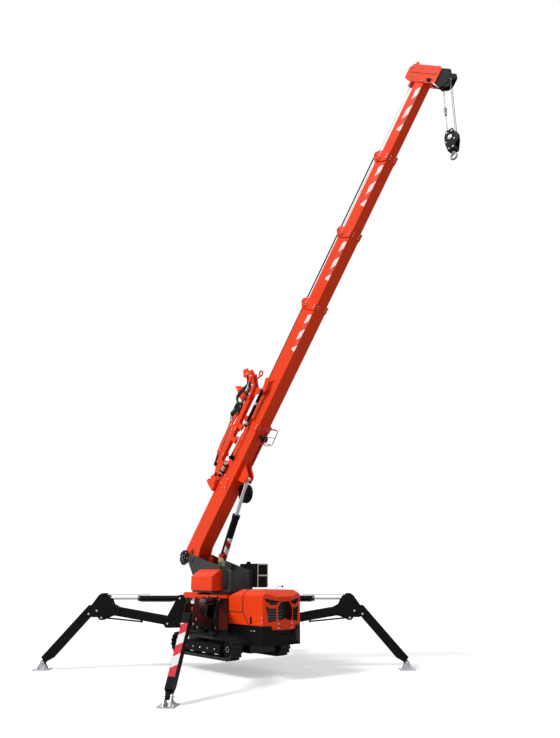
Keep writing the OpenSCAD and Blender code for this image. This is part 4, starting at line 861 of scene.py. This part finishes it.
def chassis_fittings():
    """Hoses, pipes and lever knobs around the valve bank, and screws on the track frames."""
    for k, x in enumerate(np.linspace(-0.16, 0.16, 8)):
        drop = 0.03 * np.sin(2.1 * k)
        tube("valve_hose_%d" % k,
             machine_curve([[x, -0.40, 0.803], [x + 0.01, -0.42, 0.74 + drop], [x + 0.05, -0.44, 0.68 + drop],
                            [x + 0.12, -0.40, 0.655], [x + 0.16, -0.30, 0.64]]),
             0.010, "chassis", hose_skin)
        tube("feed_hose_%d" % k,
             machine_curve([[x, -0.42, 0.955], [x - 0.01, -0.445, 1.01], [x - 0.03, -0.43, 1.09 + drop],
                            [x - 0.05, -0.38, 1.145], [x - 0.05, -0.345, 1.155]]),
             HOSE, "chassis", hose_skin if k % 3 else oxide, slot="track_rubber")
    for k in range(3):
        y, z = -0.345 - 0.022 * k, 1.02 + 0.028 * k
        tube("frame_pipe_%d" % k, machine_curve([[-0.19, y, z], [0.0, y - 0.015, z], [0.19, y, z]]),
             PIPE, "chassis", zinc, 8)
    turned("lever_knobs", machine(np.arange(-2, 3) * 0.06, -0.3875, 1.078), UP, BALL * 0.017,
           "chassis", zinc, 16, smooth=True)
    across, up = around(6, 0.036)
    for name, side in SIDES:
        for end, x in (("front", 0.84), ("rear", -0.62)):
            bolts("hub_screws_%s_%s" % (end, name), machine(x + across, side * 0.574, 0.42 + up),
                  side * ACROSS, SMALL_SCREW, "chassis", zinc)
        bolts("skirt_screws_" + name, machine(np.linspace(-0.30, 0.52, 5), side * 0.594, 0.40), side * ACROSS,
              0.016, "chassis", zinc)


# Outriggers

# Distances outward of the knee pin: the outer leg's middle line, as in the part's source, and its tape
LEG_OFFSET = 0.102
LEG_FACE = 0.1805
LEG_TAPE_FROM, LEG_TAPE_TO, LEG_TAPE_HALF = 0.20, 0.98, 0.046


def leg_tape(name):
    """Striped sheet on an outer leg, whose slope is that of knee to foot plus asin(offset / distance)."""
    _, out, side = leg_axes(name)
    knee = np.array(joints["knee_" + name]["pos_m"])
    reach = np.array(joints["foot_" + name]["pos_m"]) - knee
    flat = np.array([reach @ out, reach[2]])
    slope = np.arctan2(-flat[1], flat[0]) + np.arcsin(LEG_OFFSET / np.linalg.norm(flat))
    down = np.cos(slope) * out - np.sin(slope) * UP
    outer = np.sin(slope) * out + np.cos(slope) * UP
    along, across = np.meshgrid(np.array([LEG_TAPE_FROM, LEG_TAPE_TO]),
                                np.array([LEG_TAPE_HALF, -LEG_TAPE_HALF]), indexing="ij")
    grid = knee + along[..., None] * down + LEG_FACE * outer + across[..., None] * side
    flat_map = np.stack([along - LEG_TAPE_FROM, across], axis=-1)
    tape("tape_leg_" + name, grid, outer, flat_map, "leg_body_" + name, leg_stripes[name])


def leg_fittings(name):
    """Pin caps, gland ring, pipes, hose and pad screws of one outrigger."""
    _, out, side = leg_axes(name)
    foot = np.array(joints["foot_" + name]["pos_m"])
    for end, y in (("left", 1), ("right", -1)):
        bolts("arm_pins_%s_%s" % (name, end),
              leg(name, np.array([1.563, 1.700, 1.477]), np.array([0.936, 0.884, 0.822]), y * 0.084),
              y * side, PIN_HEAD, "arm_body_" + name, zinc)
        bolts("bracket_pins_%s_%s" % (name, end),
              leg(name, np.array([0.327, 0.134]), np.array([0.731, 1.138]), y * 0.091),
              y * side, PIN_HEAD, "swing_body_" + name, zinc)
        bolts("foot_pins_%s_%s" % (name, end), foot + y * 0.064 * side, y * side, 0.016,
              "pad_body_" + name, zinc)
    turned("gland_" + name, leg(name, 0.874, 1.1374, 0.0), out,
           [[0.047, -0.03], [0.049, -0.025], [0.049, 0.0], [0.044, 0.006]], "barrel_body_" + name, steel, 28)
    for end, y in (("right", -0.03), ("left", 0.03)):
        tube("barrel_pipe_%s_%s" % (name, end),
             leg_curve(name, [[0.22, 1.10, y], [0.30, 1.086, y], [0.60, 1.086, y], [0.80, 1.086, y],
                              [0.84, 1.10, y]]),
             PIPE, "barrel_body_" + name, steel, 8)
    tube("arm_hose_" + name,
         leg_curve(name, [[0.60, 0.885, 0.03], [0.80, 0.925, 0.035], [1.05, 0.965, 0.035],
                          [1.17, 0.985, 0.03]]),
         HOSE, "arm_body_" + name, hose_skin)
    corner = np.array([[-1, -1], [1, -1], [1, 1], [-1, 1]]) * (0.115, 0.09)
    plate = foot * (1, 1, 0) + 0.014 * UP
    bolts("pad_screws_" + name, plate + corner[:, :1] * out + corner[:, 1:] * side, UP, SCREW,
          "pad_body_" + name, zinc)


for dress in (boom_tapes, hoist_rope, collar_fittings, winch_fittings, lamp_and_reel, head_fittings,
              jib_rails, jib_plates, jib_rods, jib_hoses, hook_fittings, lift_tape, turret_fittings,
              rear_fittings, left_fittings, hood_seal, hood_fittings, chassis_fittings):
    dress()
for leg_name in LEGS:
    leg_tape(leg_name)
    leg_fittings(leg_name)


# Stage

def studio():
    """Pale floor, soft key from the machine's right, weak fill and a white surround."""
    scene = bpy.context.scene
    scene.view_settings.view_transform = "Standard"
    half = 60.0
    mesh = bpy.data.meshes.new("floor")
    corners = [(x, y, 0.0) for x, y in oblong(-half, -half, half, half)]
    mesh.from_pydata(corners, [], [(0, 1, 2, 3)])
    floor = bpy.data.objects.new("floor", mesh)
    scene.collection.objects.link(floor)
    ground, tree, shader, place = finish_of("pale_floor", 0.9, shine=0.0)
    ray = tree.nodes.new("ShaderNodeLightPath")
    soil = speckle(tree, place, 3.0)
    seen = shades(tree, soil, (0.3, (0.86, 0.86, 0.86)), (0.7, (0.88, 0.88, 0.88)))
    cast = shades(tree, soil, (0.3, (0.40, 0.40, 0.40)), (0.7, (0.42, 0.42, 0.42)))
    tree.links.new(blend_colours(tree, ray.outputs["Is Camera Ray"], cast, seen), shader.inputs["Base Color"])
    shader.inputs["Emission Color"].default_value = (1.0, 1.0, 1.0, 1.0)
    glow = sums(tree, "MULTIPLY", ray.outputs["Is Camera Ray"], 0.42)
    tree.links.new(glow, shader.inputs["Emission Strength"])
    mesh.materials.append(ground)

    world = bpy.data.worlds.new("surround")
    scene.world = world
    world.use_nodes = True
    tree = world.node_tree
    light = tree.nodes["Background"]
    light.inputs["Color"].default_value = (0.95, 0.97, 1.0, 1.0)
    light.inputs["Strength"].default_value = 0.33
    seen = tree.nodes.new("ShaderNodeBackground")
    seen.inputs["Color"].default_value = (1.0, 1.0, 1.0, 1.0)
    seen.inputs["Strength"].default_value = 1.0
    ray = tree.nodes.new("ShaderNodeLightPath")
    rays = sums(tree, "ADD", ray.outputs["Is Camera Ray"], ray.outputs["Is Glossy Ray"])
    rays = sums(tree, "MINIMUM", sums(tree, "ADD", rays, ray.outputs["Is Transmission Ray"]), 1.0)
    mix = tree.nodes.new("ShaderNodeMixShader")
    tree.links.new(rays, mix.inputs["Fac"])
    tree.links.new(light.outputs["Background"], mix.inputs[1])
    tree.links.new(seen.outputs["Background"], mix.inputs[2])
    tree.links.new(mix.outputs["Shader"], tree.nodes["World Output"].inputs["Surface"])

    for name, towards, power, spread in (("key", (0.10, 0.78, -0.62), 2.6, 14.0),
                                         ("fill", (-0.8, 0.1, -0.6), 0.35, 40.0)):
        data = bpy.data.lights.new(name, "SUN")
        data.energy = power
        data.angle = np.radians(spread)
        lamp = bpy.data.objects.new(name, data)
        lamp.location = -10.0 * Vector(towards)
        lamp.rotation_euler = Vector(towards).to_track_quat("-Z", "Y").to_euler()
        scene.collection.objects.link(lamp)

    # Focal length and height of the photograph, both in its own pixels
    focal, high, sensor = 619.1, 738.0, 36.0
    lens = bpy.data.cameras.new("camera")
    lens.sensor_fit = "VERTICAL"
    lens.sensor_height = sensor
    lens.sensor_width = sensor
    lens.lens = sensor * focal / high
    camera = bpy.data.objects.new("camera", lens)
    camera.location = machine(9.344, -6.862, 1.538)
    pitch = np.radians(18.325)
    ahead = Vector((-0.7556 * np.cos(pitch), 0.6550 * np.cos(pitch), np.sin(pitch)))
    camera.rotation_euler = ahead.to_track_quat("-Z", "Y").to_euler()
    scene.collection.objects.link(camera)
    scene.camera = camera


studio()
